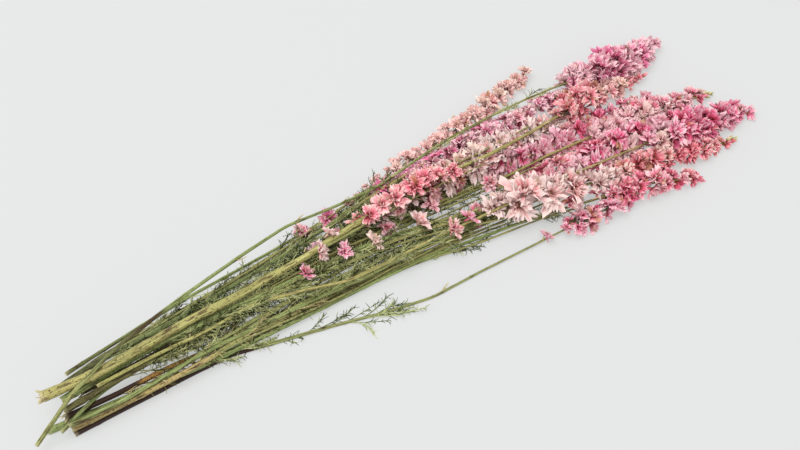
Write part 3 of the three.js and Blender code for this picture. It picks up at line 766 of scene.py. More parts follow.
# Leaves on each stalk: how many, between which lengths in millimetres, and the side that they lie
# on: 1 the far side, -1 the near side and 0 both
LEAVES = {
    "low_edge": [(5, 165, 225, 1), (3, 232, 246, 0), (8, 252, 276, 0), (5, 448, 474, 0)],
    "near_green": [(8, 128, 170, -1), (6, 215, 400, 1), (6, 330, 420, -1), (4, 455, 475, -1)],
    "far_edge": [(8, 90, 280, -1)], "rust": [(16, 30, 130, -1), (14, 180, 450, 0)],
    "brown": [(80, 95, 235, 1), (30, 235, 410, 1)], "thin_green": [(84, 60, 300, 0)],
    "under_mid": [(120, 80, 380, 0)], "low_pair": [(14, 100, 180, 1), (110, 190, 440, 1)],
    "second_far": [(44, 60, 300, -1)], "leafy_back": [(70, 50, 350, -1), (34, 100, 340, 1)],
    "olive": [(150, 60, 235, -1), (60, 200, 420, 0)], "leafy_mid": [(120, 30, 300, 0)],
    "bright": [(100, 90, 240, -1), (100, 200, 400, -1)], "pale_thin": [(12, 120, 420, -1)],
    "thick": [(6, 200, 400, 0)], "cross": [(6, 440, 580, -1)],
}
LEAF_LENGTHS = (15, 36)  # the least and the most
RIB_RADII = (0.6, 0.32)  # from root to end
RIB_POINTS = 6
LEAF_THREADS = 13  # threads on each leaf
THREAD_LENGTHS = (5, 12)
THREAD_RADII = (0.5, 0.2)
THREAD_POINTS = 4
THREAD_SIDES = 3
MATTED = 0.62  # what is left of a leaf's height over the middle of its stalk

# The green of the threads is darkened below their own colour, as painted shade in the matted tufts
leaf_thread, given, made = new_group("leaf_thread", {
    "Green": (COLOUR, linear("232e0e")),
    "Bleached": (COLOUR, linear("c6cc90")),
}, {"Color": (COLOUR, None), "Height": (NUMBER, None)})
w = Wiring(leaf_thread)
patch = w.noise(w.place(), 160, 2)
bleached = w.varied(w.times(w.value_of("bleached"), 0.8), patch, 0.9, clamp=True)
w.put(made["Color"], w.mix(bleached, given["Green"], given["Bleached"]))
w.put(made["Height"], patch)

# The colours of green and of bleached threads on stalks of each finish. The green is darker than the
# leaves' own, as painted shade in the matted tufts.
LEAF_COLOURS = {
    "stem_pale_green": ("2e3a12", "d0d49a"), "stem_green": ("232e0e", "c6cc90"),
    "stem_dark_green": ("1c260c", "b6be84"), "stem_olive": ("222b0e", "c4c68c"),
    "stem_rust": ("2e2e14", "c8bc88"), "stem_blackish": ("3e4e24", "bec68e"),
}
leaf_materials = {
    slot: finish_material(f"leaves_{slot}", leaf_thread, {
        "Green": linear(green), "Bleached": linear(pale)}, roughness=0.75, relief=0.3, gloss=0.1)
    for slot, (green, pale) in LEAF_COLOURS.items()
}


def leaves_on(name, stem, seed):
    """Leaves along a stalk. Each is a bare leaf stalk that goes on as a rib, an arc that leans out
    and turns back along the stalk, with threads that leave its outer half to both sides as arcs of
    their own. The heights over the stalk's middle are pressed to a share of what they were."""
    draw = np.random.default_rng(100 + seed)
    parts = LEAVES[name]
    count = sum(part[0] for part in parts)
    along = np.concatenate([draw.uniform(start, end, many) for many, start, end, _ in parts])
    on_side = np.concatenate([np.full(many, aside) for many, _, _, aside in parts])
    on_side = np.where(on_side == 0, np.sign(draw.uniform(-1, 1, count)), on_side)
    place, radius, forward, side, up = frames_at(stem, along)
    turn = on_side * np.radians(draw.normal(95, 30, count))
    lean = np.radians(draw.uniform(6, 34, count))
    way = unit(leaning(forward, side, up, lean, turn))
    root = place + 0.6 * radius[:, None] * leaning(forward, side, up, np.pi / 2, turn)
    length = draw.uniform(*LEAF_LENGTHS, count) * MM
    back = across_from(way, forward + 0.35 * draw.normal(size=way.shape))
    curve = draw.uniform(0.1, 1.0, count)
    rib, rib_way, rib_axis = arcs(root, way, back, length, curve, RIB_POINTS)
    thick = np.broadcast_to(np.linspace(*RIB_RADII, RIB_POINTS) * MM, rib.shape[:2])
    rib_shape = tubes(rib, rib_way, rib_axis, thick, THREAD_SIDES)
    part = np.linspace(0.4, 1, LEAF_THREADS)
    spot = part * (RIB_POINTS - 1)
    low = np.minimum(spot.astype(int), RIB_POINTS - 2)
    share = (spot - low)[None, :, None]
    base = rib[:, low] * (1 - share) + rib[:, low + 1] * share
    along_rib = rib_way[:, low]
    across = np.cross(along_rib, rib_axis[:, low])
    flat = unit(across + 0.7 * draw.normal(size=across.shape))
    sign = np.where(np.arange(LEAF_THREADS) % 2, 1.0, -1.0)
    open_by = np.radians(draw.uniform(10, 58, (count, LEAF_THREADS))) * sign
    thread_way = unit(np.cos(open_by)[..., None] * along_rib + np.sin(open_by)[..., None] * flat)
    size = draw.uniform(*THREAD_LENGTHS, (count, LEAF_THREADS)) * (1.3 - 0.6 * part) * MM
    curl = draw.uniform(0.3, 2.1, (count, LEAF_THREADS))
    line, tangent, axis = arcs(base, thread_way, beside(thread_way, draw), size, curl,
                               THREAD_POINTS)
    fine = np.broadcast_to(np.linspace(*THREAD_RADII, THREAD_POINTS) * MM, line.shape[:-1])
    thread_shape = tubes(line, tangent, axis, fine, THREAD_SIDES)
    dry = draw.beta(0.5, 0.75, count)
    rib_dry = np.repeat(np.clip(dry + 0.35, 0, 1), RIB_POINTS * THREAD_SIDES)
    thread_dry = np.clip(dry[:, None] + draw.normal(0, 0.25, size.shape), 0, 1)
    thread_dry = np.repeat(thread_dry.ravel(), THREAD_POINTS * THREAD_SIDES)
    for points, _ in (rib_shape, thread_shape):
        middle = np.repeat(place[:, 2], len(points) // count)
        points[:, 2] = middle + MATTED * (points[:, 2] - middle)
    return [(*rib_shape, {"bleached": rib_dry}), (*thread_shape, {"bleached": thread_dry})]


def make_leaves(name, stem, seed):
    """All the leaves of a stalk as one piece, in the finish of its stalk."""
    points, faces, values = joined(leaves_on(name, stem, seed))
    slot = STALK_FINISH[name]
    make_piece(f"leaves_{name}", above_floor(points, 0.6 * MM), faces, leaf_materials[slot],
               values, crease=80)


for seed, (name, stem) in enumerate(STEMS.items()):
    make_leaves(name, stem, seed)


# Florets
# A spike of larkspur ends each stem: double florets on short stalks round its thin upper part, each
# with an outer ring of broad petals, an inner ring of narrow ones and a spur, dried and crumpled.

# The rows of corners from a petal's foot to its rim: their places along it, and their widths
ROW_PLACES = np.array([0.0, 0.42, 0.8, 1.0])
ROW_WIDTHS = np.array([0.18, 0.74, 1.0, 0.82])
ROWS = len(ROW_PLACES)
COLUMNS = 5
PETAL_THICKNESS = 0.26 * MM


def petal_faces():
    """The quads of a closed thin petal: an outer and an inner sheet that share their rim."""
    outer = np.arange(ROWS * COLUMNS).reshape(ROWS, COLUMNS)
    inner = outer.copy()
    middle = (ROWS - 2) * (COLUMNS - 2)
    inner[1:-1, 1:-1] = ROWS * COLUMNS + np.arange(middle).reshape(ROWS - 2, COLUMNS - 2)
    front = np.stack([outer[:-1, :-1], outer[:-1, 1:], outer[1:, 1:], outer[1:, :-1]], axis=-1)
    back = np.stack([inner[:-1, :-1], inner[1:, :-1], inner[1:, 1:], inner[:-1, 1:]], axis=-1)
    return np.concatenate([front.reshape(-1, 4), back.reshape(-1, 4)]), ROWS * COLUMNS + middle


PETAL_QUADS, PETAL_POINTS = petal_faces()


def petals(centre, axis, turn, tilt, bend, length, width, draw):
    """Petals, each a sheet over u across and v along. Its midline leaves the floret's axis a at the
    angle tilt + bend v, so it runs as L / bend ((sin(tilt + bend v) - sin tilt) a + (cos tilt -
    cos(tilt + bend v)) r), with r outward. Its width follows ROW_WIDTHS, its sides turn in by
    cup u^2, it is creased by |u|, pleated by cos(2 pi u), waved by sines of u and v, twisted by v,
    and ends in ragged teeth on its pleats."""
    count = len(centre)
    u = np.linspace(-1, 1, COLUMNS)[None, None, :]
    v = ROW_PLACES[None, :, None]
    first = unit(np.cross(axis, np.array([0.13, 0.07, 0.99])))
    second = np.cross(axis, first)
    outward = np.cos(turn)[:, None] * first + np.sin(turn)[:, None] * second
    sideways = np.cross(axis, outward)
    bend = np.where(np.abs(bend) < 0.05, 0.05, bend)

    def of_petal(values):
        """One value for each petal, for use over its rows and columns."""
        return values[:, None, None]

    angle = of_petal(tilt) + of_petal(bend) * v
    scale = of_petal(length / bend)
    forward = scale * (np.sin(angle) - np.sin(of_petal(tilt)))
    out = scale * (np.cos(of_petal(tilt)) - np.cos(angle)) + 0.12 * of_petal(length)
    normal_out, normal_forward = np.cos(angle), -np.sin(angle)
    twist = of_petal(draw.normal(0, 0.5, count)) * v
    cup = of_petal(draw.uniform(-0.3, 0.75, count))
    crease = of_petal(draw.uniform(-0.25, 0.6, count))
    wave = of_petal(draw.uniform(0.05, 0.14, count) * length) * v
    pleat = of_petal(draw.uniform(0.08, 0.34, count)) * v * np.cos(2 * math.pi * u)
    phase = of_petal(draw.uniform(0, 6.3, count))
    half = of_petal(width / 2) * ROW_WIDTHS[None, :, None]
    across = half * u
    waves = np.sin(3.1 * u + 3.8 * v + phase) + 0.6 * np.sin(5.5 * u - 6 * v + 2 * phase)
    depth = half * (pleat - cup * u**2 - crease * np.abs(u)) + wave * waves
    teeth = 0.1 * np.cos(2 * math.pi * u)
    ragged = draw.uniform(-0.16, 0.12, (count, 1, COLUMNS)) - 0.1 * u**2 - teeth
    tear = ragged * v**3 * of_petal(length)
    forward = forward + np.cos(angle) * tear
    out = out + np.sin(angle) * tear
    turned_across = across * np.cos(twist) - depth * np.sin(twist)
    turned_depth = across * np.sin(twist) + depth * np.cos(twist)

    def sheet(shift):
        """The petal's surface, moved off its middle by a shift."""
        deep = turned_depth + shift
        parts = ((forward + normal_forward * deep, axis), (out + normal_out * deep, outward),
                 (turned_across + 0 * v, sideways))
        return centre[:, None, None] + sum(p[..., None] * e[:, None, None] for p, e in parts)

    outer = sheet(PETAL_THICKNESS / 2)
    inner = sheet(-PETAL_THICKNESS / 2)[:, 1:-1, 1:-1]
    rim = sheet(0)
    outer[:, [0, -1]] = rim[:, [0, -1]]
    outer[:, :, [0, -1]] = rim[:, :, [0, -1]]
    points = np.concatenate([outer.reshape(count, -1, 3), inner.reshape(count, -1, 3)], axis=1)
    grid_v = np.broadcast_to(v, (1, ROWS, COLUMNS))
    grid_u = np.broadcast_to(u, (1, ROWS, COLUMNS))
    both = [np.concatenate([g.ravel(), g[:, 1:-1, 1:-1].ravel()]) for g in (grid_v, grid_u)]
    quads = PETAL_QUADS[None] + (np.arange(count) * PETAL_POINTS)[:, None, None]
    return points.reshape(-1, 3), [quads.reshape(-1, 4)], both


# Rings of petals: how many, the least and the most angle from the floret's axis, length and width
# as shares of the floret's size, and whether it is the outer ring
PETAL_RINGS = {
    "full": [(10, (48, 92), 0.47, 0.27, True), (10, (8, 56), 0.39, 0.23, False)],
    "broad": [(12, (46, 86), 0.54, 0.26, True), (9, (10, 54), 0.4, 0.22, False)],
}
SPUR_POINTS = 4
SPUR_SIDES = 4


def florets(centre, axis, size, tone, open_share, broad, draw):
    """Florets of two rings of petals and a spur, with values for their colours: some are cream and
    some petals have browned. Broad florets have wider petals that lie flatter."""
    cream = np.where(draw.uniform(0, 1, len(centre)) < 0.13, draw.uniform(0.3, 0.9, len(centre)), 0)
    shapes = []
    rings = PETAL_RINGS["broad" if broad > 0.5 else "full"]
    for count, tilt, length, width, first in rings:
        of = np.repeat(np.arange(len(centre)), count)
        number = np.tile(np.arange(count), len(centre))
        many = len(of)
        turn = 2 * math.pi * (number + (0 if first else 0.5)) / count + draw.normal(0, 0.2, many)
        turn = turn + np.repeat(draw.uniform(0, 6.3, len(centre)), count)
        least, most = np.radians(tilt)
        angle = least + (most - least) * open_share[of] + draw.normal(0, 0.16, many)
        bend = draw.uniform(-0.9, 1.3, many) * (1 - 0.4 * broad)
        long = length * size[of] * draw.uniform(0.82, 1.16, many)
        wide = width * size[of] * draw.uniform(0.75, 1.25, many)
        points, faces, (v, u) = petals(centre[of], axis[of], turn, angle - bend / 2, bend, long,
                                       wide, draw)
        # Inner petals are a tone deeper, as painted shade inside the floret
        petal_tone = np.clip(tone[of] + draw.normal(0, 0.08, many) + (0 if first else 0.1), -0.5, 1)
        browned = np.where(draw.uniform(0, 1, many) < 0.06, draw.uniform(0.2, 0.8, many), 0)
        shapes.append((points, faces, {
            "tone": np.repeat(petal_tone, PETAL_POINTS),
            "petal": np.repeat(draw.uniform(0, 100, many), PETAL_POINTS),
            "reach": np.tile(v, many),
            "across": np.tile(u, many),
            "browned": np.repeat(browned, PETAL_POINTS),
            "cream": np.repeat(cream[of], PETAL_POINTS),
        }))
    count = len(centre)
    each = SPUR_POINTS * SPUR_SIDES
    back = unit(-axis + 0.7 * beside(axis, draw))
    line, tangent, around = arcs(centre, back, beside(back, draw), 0.42 * size,
                                 draw.uniform(0.2, 0.9, count), SPUR_POINTS)
    radii = size[:, None] * np.array([0.075, 0.055, 0.035, 0.012])[None]
    points, faces = tubes(line, tangent, around, radii, SPUR_SIDES)
    shapes.append((points, faces, {
        "tone": np.repeat(tone, each),
        "petal": np.repeat(draw.uniform(0, 100, count), each),
        "reach": np.tile(np.repeat([0.5, 0.6, 0.5, 0.2], SPUR_SIDES), count),
        "across": np.zeros(each * count),
        "browned": np.full(each * count, 0.15),
        "cream": np.repeat(cream, each),
    }))
    return shapes


def buds(centre, axis, length, tone, draw):
    """Closed buds: short arcs with a ring of six corners whose radius swells and closes again."""
    count, points, sides = len(centre), 6, 6
    each = points * sides
    line, tangent, around = arcs(centre, axis, beside(axis, draw), length,
                                 draw.uniform(0.1, 0.6, count), points)
    swell = np.array([0.35, 0.85, 1.0, 0.8, 0.45, 0.08])
    radii = 0.24 * length[:, None] * swell[None]
    return (*tubes(line, tangent, around, radii, sides), {
        "tone": np.repeat(tone, each),
        "petal": np.repeat(draw.uniform(0, 100, count), each),
        "reach": np.tile(np.repeat([0.0, 0.15, 0.4, 0.6, 0.75, 0.8], sides), count),
        "across": np.zeros(each * count),
        "browned": np.full(each * count, 0.1),
        "cream": np.full(each * count, 0.1),
    })


dried_petal, given, made = new_group("dried_petal", {
    "Deep": (COLOUR, linear("c83c58")),
    "Middle": (COLOUR, linear("ec7aa4")),
    "Faded": (COLOUR, linear("f0c8d2")),
    # Heart shade: a brown painted shade deep inside the floret, at the foot of the petals
    "Heart shade": (COLOUR, linear("6c3e20")),
    "Cream": (COLOUR, linear("f5e2d6")),
    "Withered": (COLOUR, linear("b88e56")),
}, {"Color": (COLOUR, None), "Height": (NUMBER, None)})
w = Wiring(dried_petal)
tone, petal, reach, across = (w.value_of(k) for k in ("tone", "petal", "reach", "across"))
off_midline = w.maths("ABSOLUTE", across)
vein = w.noise(w.vector(w.times(across, 3), w.times(reach, 1.1), petal), 1.5, 3)
cloud = w.noise(w.place(), 230, 2)
# The pleat value darkens the valleys of the pleats as painted shade and lightens their ridges as
# painted highlight, and the rim mask lightens the edge as painted highlight
pleat = w.times(w.maths("COSINE", w.times(across, 2 * math.pi)), reach)
rim = w.most(w.band(reach, 0.6, 1.0), w.band(off_midline, 0.5, 1.0))
# The tone is deeper along veins and towards the foot, and paler along the rim. The foot and rim are
# partly the petals' own colour and partly painted shade and painted highlight. The tone is also
# deeper in the valleys of the pleats and paler on their ridges, as painted shade and painted
# highlight.
shade = w.varied(w.varied(tone, vein, 1.0), cloud, 0.6)
shade = w.plus(shade, w.times(w.minus(0.55, reach), 0.95))
shade = w.minus(shade, w.times(rim, 0.3))
shade = w.plus(shade, w.times(pleat, 0.25))
colour = w.mix(w.band(shade, -0.1, 0.5), given["Faded"], given["Middle"])
colour = w.mix(w.band(shade, 0.5, 1.1), colour, given["Deep"])
blanched = w.times(w.value_of("cream"), w.band(shade, 1.2, 0.3))
colour = w.mix(blanched, colour, given["Cream"])
# Brown at the foot of each petal is painted shade deep inside the floret
colour = w.mix(w.times(w.band(reach, 0.48, 0.1), 0.8), colour, given["Heart shade"])
edge = w.most(w.band(reach, 0.86, 1.0), w.band(off_midline, 0.8, 1.0))
dry_edge = w.times(edge, w.band(w.noise(w.place(), 90, 2), 0.5, 0.72))
dry = w.most(w.times(dry_edge, 0.25), w.value_of("browned"))
w.put(made["Color"], w.mix(dry, colour, given["Withered"]))
w.put(made["Height"], w.plus(vein, w.times(cloud, 0.4)))

# The colours of a petal where its tone is deep, middling and faded
PETAL_COLOURS = {
    "petals_deep_pink": ("c83c58", "ec7aa4", "f0c8d2"),
    "petals_mid_pink": ("d05068", "f08aa6", "f2d0d4"),
    "petals_salmon": ("d05669", "f29dac", "f6d4d0"),
    "petals_orchid": ("cc5478", "ee88b4", "f3d0d8"),
    "petals_pale": ("d6646e", "f4babc", "f0dcd9"),
    "bud_green": ("8fa05a", "b9c386", "d9d7a6"),
}
petal_materials = {
    slot: finish_material(slot, dried_petal, {
        "Deep": linear(deep), "Middle": linear(middle), "Faded": linear(faded)},
        roughness=0.7, relief=0.35, gloss=0.12)
    for slot, (deep, middle, faded) in PETAL_COLOURS.items()
}

# The finish of each spike, the tone of its florets (the mean, and how far they differ), and how
# broad their petals are, from 0 to 1
SPIKES = {
    "low_edge": ("petals_deep_pink", 0.5, 0.25, 0.2),
    "near_green": ("petals_mid_pink", 0.6, 0.25, 0.2),
    "far_edge": ("petals_salmon", -0.2, 0.15, 0.2),
    "rust": ("petals_salmon", 0.75, 0.3, 0.2),
    "brown": ("petals_mid_pink", 0.6, 0.3, 0.2),
    "thin_green": ("petals_deep_pink", 0.5, 0.3, 0.2),
    "under_mid": ("petals_deep_pink", 0.5, 0.3, 0),
    "low_pair": ("petals_deep_pink", 0.45, 0.3, 0),
    "second_far": ("petals_orchid", 0.45, 0.3, 0.2),
    "leafy_back": ("petals_orchid", 0.45, 0.3, 0.2),
    "olive": ("petals_mid_pink", 0.35, 0.3, 0.3),
    "leafy_mid": ("petals_pale", 0.4, 0.35, 0.7),
    "bright": ("petals_pale", 0.2, 0.15, 1),
    "pale_thin": ("petals_deep_pink", 0.5, 0.3, 0),
    "thick": ("petals_salmon", 0.5, 0.3, 0.4),
    "cross": ("petals_orchid", 0.4, 0.35, 0.3),
}
GOLDEN = math.radians(137.5)  # turn from one floret to the next
FOOT_LEAN = 70  # degrees from forward that florets lean at the foot of a spike
TIP_LEAN = 50
UPWARD = 0.35  # how far florets turn up to the light
# Florets that stand apart before the foot of a spike: the length along the stem in millimetres and
# the angle round it in degrees, 0 on top and 90 on the far side
EARLY = {
    "thick": [(306, -50), (324, 15), (336, -35), (347, 20), (358, -20), (370, 35), (384, -10),
              (398, -70)], "leafy_back": [(322, -60), (338, 40)],
    "leafy_mid": [(268, 20), (290, -10)], "olive": [(312, -10), (357, 0), (420, -30)],
    "under_mid": [(350, 10), (374, -20)], "low_pair": [(418, -20), (446, 20)],
    "second_far": [(246, 60), (272, 10)], "thin_green": [(262, 10), (281, -20)],
    "near_green": [(492, 20)], "brown": [(392, -20)],
}
EARLY_SIZE = 16.5  # the size of these florets
# The size of a spike's florets as a share of its solid's, at its foot and at its tip, where that
# isn't the usual
PLUMP = {"far_edge": (0.4, 1.65), "pale_thin": (1.25, 1.25), "near_green": (1.15, 1.15),
         "bright": (1.15, 1.15), "thick": (1.15, 0.7), "cross": (1.05, 1.1)}
USUAL_PLUMP = (1.05, 1.05)
# What a spike's tone gains at its foot, middle and tip, where that isn't the usual
TONE_ALONG = {"cross": (-0.4, 0.4, -0.4), "leafy_mid": (0.5, -0.2, -0.1),
              "leafy_back": (0.2, -0.1, -0.2), "thick": (0.15, -0.05, 0.1),
              "olive": (0.0, -0.1, 0.1)}
USUAL_TONE_ALONG = (-0.125, 0, 0.125)
# Millimetres from floret to floret along a spike, where that isn't the usual
SPACING = {"bright": 10.0, "leafy_mid": 6.5, "far_edge": 4.8}
USUAL_SPACING = 5.4
LATE_BUDS = 7  # closed buds among the last florets of a spike
IN_BUD = ("rust", "olive")  # spikes that are still in bud at their end
BUD_TIP = 14.0  # length of the green tip of such a spike
BARE_TIP = 2.0  # length without florets at the tip of any other
ON_TOP = ("bright",)  # spikes that lie open over the stalks of later stems
PRESSED_REACH = {"near": 18, "behind": 10}  # how far to each side of a stalk petals are pressed
PRESSED_FADE = 7  # length over which the pressing ends on each side
PRESSED_SLOPE = 0.9  # how fast the room under a stalk grows away from it on its near side
PRESSED_PAST = 12  # how far into its spike a stem still presses on what it lies on
LEAST_PRESSED = 0.25  # the least share of its height that a pressed petal keeps
SPIKE_TOP = 0.6  # height of a spike over its middle, in floret sizes


def pressed(points, name):
    """Petals pressed under the stalks that lie over them: their heights are scaled by the share
    (height left) / (height of the spike). The height left is that under a later stalk, and grows
    by PRESSED_SLOPE on its near side. The pressing fades out to each side over PRESSED_FADE."""
    if name in ON_TOP:
        return points
    own_x, _, own_z = STEMS[name]["line"][1].T * MM
    top = np.interp(points[:, 0], own_x, own_z) + SPIKE_TOP * STEMS[name]["floret"] * MM
    order = list(STEMS)
    for other in order[order.index(name) + 1:]:
        above = STEMS[other]
        table, line = above["line"]
        part = table < above["stalk"] + PRESSED_PAST
        line_x, line_y, line_z = line[part].T * MM
        low = line_z - np.interp(table[part], above["along"], above["radius"]) * MM
        off = np.interp(points[:, 0], line_x, line_y) - points[:, 1]
        left = np.interp(points[:, 0], line_x, low) + PRESSED_SLOPE * np.maximum(off - 2 * MM, 0)
        reach = np.where(off > 0, PRESSED_REACH["near"], PRESSED_REACH["behind"]) * MM
        near = np.clip((reach - np.abs(off)) / (PRESSED_FADE * MM), 0, 1)
        near = near * ((points[:, 0] > line_x[0]) & (points[:, 0] < line_x[-1]))
        points[:, 2] *= 1 - near * (1 - np.clip(left / top, LEAST_PRESSED, 1))
    return points


def make_spike(name, stem, seed):
    """A spike: florets at even steps along it, a golden angle apart round it, lean out less and
    less towards its tip, with closed buds among the last. Returns where each floret grows from, its
    middle, and the way that it faces."""
    slot, mean, differs, broad = SPIKES[name]
    draw = np.random.default_rng(200 + seed)
    full = stem["spike"] - (BUD_TIP if name in IN_BUD else BARE_TIP)
    count = round(full / SPACING.get(name, USUAL_SPACING))
    q = (np.arange(count) + 0.5) / count
    along = stem["stalk"] + q * full
    early = np.array(EARLY.get(name, []), float).reshape(-1, 2)
    along = np.append(along, early[:, 0])
    q = np.append(q, np.zeros(len(early)))
    turn = np.append(seed + np.arange(count) * GOLDEN, np.radians(early[:, 1]))
    count = len(along)
    place, radius, forward, side, up = frames_at(stem, along)
    turn = turn + draw.normal(0, 0.25, count)
    lean = np.radians(FOOT_LEAN - (FOOT_LEAN - TIP_LEAN) * q) + draw.normal(0, 0.12, count)
    axis = unit(leaning(forward, side, up, lean, turn) + [0, 0, UPWARD + 0.8 * broad])
    full_size = np.where(along < stem["stalk"], EARLY_SIZE, stem["floret"] * fullness(q))
    plump = np.interp(q, [0, 1], PLUMP.get(name, USUAL_PLUMP))
    size = full_size * MM * draw.uniform(0.92, 1.3, count) * plump
    centre = place + axis * (radius + draw.uniform(0.1, 0.34, count) * size)[:, None]
    gain = np.interp(q, [0, 0.5, 1], TONE_ALONG.get(name, USUAL_TONE_ALONG))
    tone = np.clip(draw.normal(mean, differs, count) + gain, -0.5, 1)
    open_share = draw.beta(1.6, 1.0, count) * (1 - 0.35 * q) * (1 - 0.4 * broad) + 0.4 * broad
    shapes = florets(centre, axis, size, tone, open_share, broad, draw)
    late = draw.uniform(0.75, 1.0, LATE_BUDS)
    spot, _, ahead, aside, above = frames_at(stem, stem["stalk"] + late * full)
    way = unit(leaning(ahead, aside, above, np.radians(50 - 25 * late),
                       draw.uniform(0, 6.3, LATE_BUDS)))
    shapes.append(buds(spot + way * 4 * MM, way, draw.uniform(6, 9, LATE_BUDS) * MM,
                       np.full(LATE_BUDS, mean), draw))
    points, faces, values = joined(shapes)
    points = above_floor(pressed(points, name), 3 * MM)
    make_piece(f"florets_{name}", points, faces, petal_materials[slot],
               values, [f"spike_{name}"], crease=35)
    return place, centre, axis


def make_pedicels(name, stem, seed, foot, centre, axis):
    """The short stalk of each floret, an arc from the stem to it, and a thread-like bract."""
    draw = np.random.default_rng(300 + seed)
    count, points, pedicel_sides, bract_sides = len(foot), 4, 4, 3
    forward = frames_at(stem, [stem["stalk"] + stem["spike"] / 2])[2]
    way = unit(unit(centre - foot) + 0.5 * forward)
    reach = np.linalg.norm(centre - foot, axis=1) * 1.05
    pedicel = arcs(foot, way, across_from(way, axis), reach, np.full(count, 0.5), points)
    radii = np.broadcast_to(np.array([0.6, 0.45, 0.45, 0.8]) * MM, (count, points))
    bract_way = unit(way + 0.5 * draw.normal(size=way.shape))
    bract = arcs(foot, bract_way, beside(bract_way, draw), draw.uniform(5, 9, count) * MM,
                 draw.uniform(0.3, 1.2, count), points)
    thin = np.broadcast_to(np.array([0.45, 0.5, 0.35, 0.12]) * MM, (count, points))
    pedicel_dry = np.repeat(draw.uniform(0.2, 0.9, count), points * pedicel_sides)
    bract_dry = np.repeat(draw.uniform(0, 0.8, count), points * bract_sides)
    points, faces, values = joined([
        (*tubes(*pedicel, radii, pedicel_sides), {"bleached": pedicel_dry}),
        (*tubes(*bract, thin, bract_sides), {"bleached": bract_dry})])
    slot = STALK_FINISH[name]
    points = above_floor(pressed(points, name), MM)
    make_piece(f"pedicels_{name}", points, faces, leaf_materials[slot], values, crease=80)


for seed, (name, stem) in enumerate(STEMS.items()):
    make_pedicels(name, stem, seed, *make_spike(name, stem, seed))


# Bud tips
# Two spikes haven't opened to the end. There a thin green tip goes on with a few closed buds, which
# get smaller and lean closer to the stem towards its end.

TIP_BUDS = 9
for seed, name in enumerate(IN_BUD):
    stem = STEMS[name]
    draw = np.random.default_rng(400 + seed)
    k = np.arange(TIP_BUDS)
    along = stem["length"] - BUD_TIP + (k + 0.5) / TIP_BUDS * (BUD_TIP - BARE_TIP)
    place, _, forward, side, up = frames_at(stem, along)
    way = unit(leaning(forward, side, up, np.radians(48 - 4 * k), k * GOLDEN))
    length = (7.5 - 0.45 * k) * MM
    tone = np.clip(draw.normal(0.4, 0.25, TIP_BUDS), 0, 1)
    points, faces, values = buds(place + way * 0.8 * MM, way, length, tone, draw)
    make_piece(f"green_tip_{name}", above_floor(points, MM), faces,
               petal_materials["bud_green"], values, [f"bud_tip_{name}"])


# Lone florets
# A few florets grow by themselves below the spike of their stem, most of them among leaves. Each has
# two rings of petals and a spur, as the florets of a spike have.

# Their stem, the length along it, their size, and their finish. Each stands off its stem the way
# that its solid does, and they are numbered along the list, stem by stem.
LONE_FLORETS = [
    ("thick", 252, 15, "petals_pale"), ("bright", 222, 13, "petals_deep_pink"),
    ("second_far", 246, 14, "petals_salmon"), ("thick", 268, 11, "petals_pale"),
    ("bright", 262, 14, "petals_deep_pink"), ("bright", 290, 14, "petals_deep_pink"),
    ("bright", 334, 19, "petals_pale"), ("pale_thin", 330, 15, "petals_salmon"),
    ("pale_thin", 348, 14, "petals_deep_pink"), ("low_edge", 440, 11, "petals_deep_pink"),
]
numbers = {}
for seed, (name, along, size, slot) in enumerate(LONE_FLORETS):
    numbers[name] = numbers.get(name, 0) + 1
    node = f"floret_{name}_{numbers[name]}"
    draw = np.random.default_rng(500 + seed)
    place, radius, forward, side, _ = frames_at(STEMS[name], along)
    low, high = (np.array(corner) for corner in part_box(node))
    middle = ((low + high) / 2)[None]
    axis = unit(middle - place)
    centre = place + axis * (radius + 0.2 * size * MM)[:, None]
    axis = unit(axis + draw.uniform(0.2, 0.8) * forward + draw.uniform(-0.4, 0.4) * side)
    points, faces, values = joined(florets(
        centre, axis, size=np.array([1.2 * size * MM]), tone=np.array([0.35]),
        open_share=np.array([0.55]), broad=0.6, draw=draw))
    make_piece(f"lone_{name}_{numbers[name]}", above_floor(points, MM), faces,
               petal_materials[slot], values, [node], crease=35)


# The pale surface, the light and the camera
# The bunch lies on a plain white sheet under soft light from the upper left of the picture. The
# sheet gives off a little light of its own, so that the shadows on it stay weak.

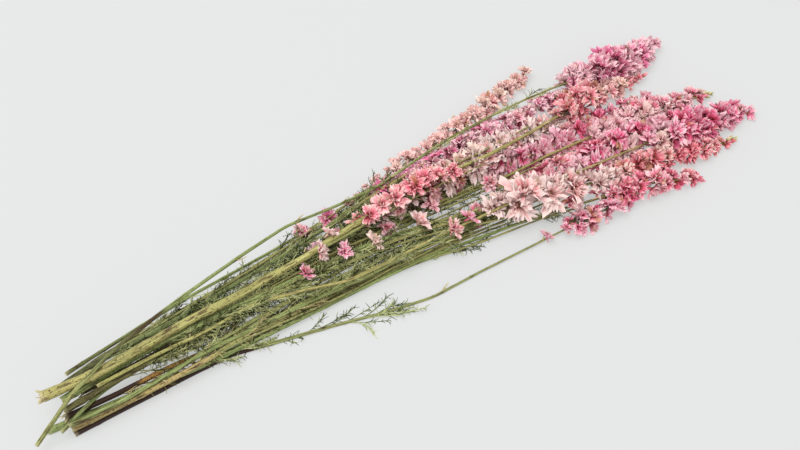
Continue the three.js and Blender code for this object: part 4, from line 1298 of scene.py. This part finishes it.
SHEET = 60.0  # metres, so wide that no picture shows its edge
bpy.ops.mesh.primitive_plane_add(size=SHEET, location=(0, 0, 0))
floor = bpy.context.object
floor.name = "floor"
floor_finish = bpy.data.materials.new("white_sheet")
floor_finish.use_nodes = True
floor_shader = floor_finish.node_tree.nodes["Principled BSDF"]
floor_shader.inputs["Base Color"].default_value = (0.25, 0.258, 0.268, 1)
floor_shader.inputs["Emission Color"].default_value = (0.98, 1.0, 0.985, 1)
floor_shader.inputs["Emission Strength"].default_value = 0.45
floor_shader.inputs["Roughness"].default_value = 0.9
floor_shader.inputs["Specular IOR Level"].default_value = 0.1
floor.data.materials.append(floor_finish)

AZIMUTH = math.radians(-31)
ELEVATION = math.radians(57)
DISTANCE = 0.8666
TARGET = np.array([-0.00476, 0.00723, 0.0])
LAMPS = (-0.5, 0.25, 1.7)
LIT_SPOT = (-0.1, 0.0, 0.0)
DAYLIGHT = (1.0, 0.985, 0.96)


def put_facing(name, data, place, target):
    """A lamp or the camera at a place, turned so that it faces a target."""
    thing = bpy.data.objects.new(name, data)
    thing.location = place
    ahead = Vector(target) - Vector(place)
    thing.rotation_euler = ahead.to_track_quat("-Z", "Y").to_euler()
    bpy.context.scene.collection.objects.link(thing)
    return thing


lens = bpy.data.cameras.new("camera")
lens.lens = 42
lens.sensor_width = 36
lens.clip_start = 0.01
lens.dof.use_dof = False
back = np.array([math.sin(AZIMUTH) * math.cos(ELEVATION),
                 -math.cos(AZIMUTH) * math.cos(ELEVATION), math.sin(ELEVATION)])
bpy.context.scene.camera = put_facing("camera", lens, TARGET + back * DISTANCE, TARGET)

window = bpy.data.lights.new("window", "AREA")
window.shape = "RECTANGLE"
window.size = 2.2
window.size_y = 1.8
window.energy = 10
window.color = DAYLIGHT
put_facing("window", window, LAMPS, LIT_SPOT)

# Light as even over the whole sheet as that of a high white ceiling
ceiling = bpy.data.lights.new("ceiling", "SUN")
ceiling.energy = 1.15
ceiling.angle = math.radians(45)
ceiling.color = DAYLIGHT
put_facing("ceiling", ceiling, LAMPS, LIT_SPOT)

room = bpy.data.worlds.new("room")
room.use_nodes = True
room_light = room.node_tree.nodes["Background"]
room_light.inputs["Color"].default_value = (1.0, 0.96, 0.93, 1)
room_light.inputs["Strength"].default_value = 0.87
bpy.context.scene.world = room
bpy.context.scene.view_settings.view_transform = "Standard"
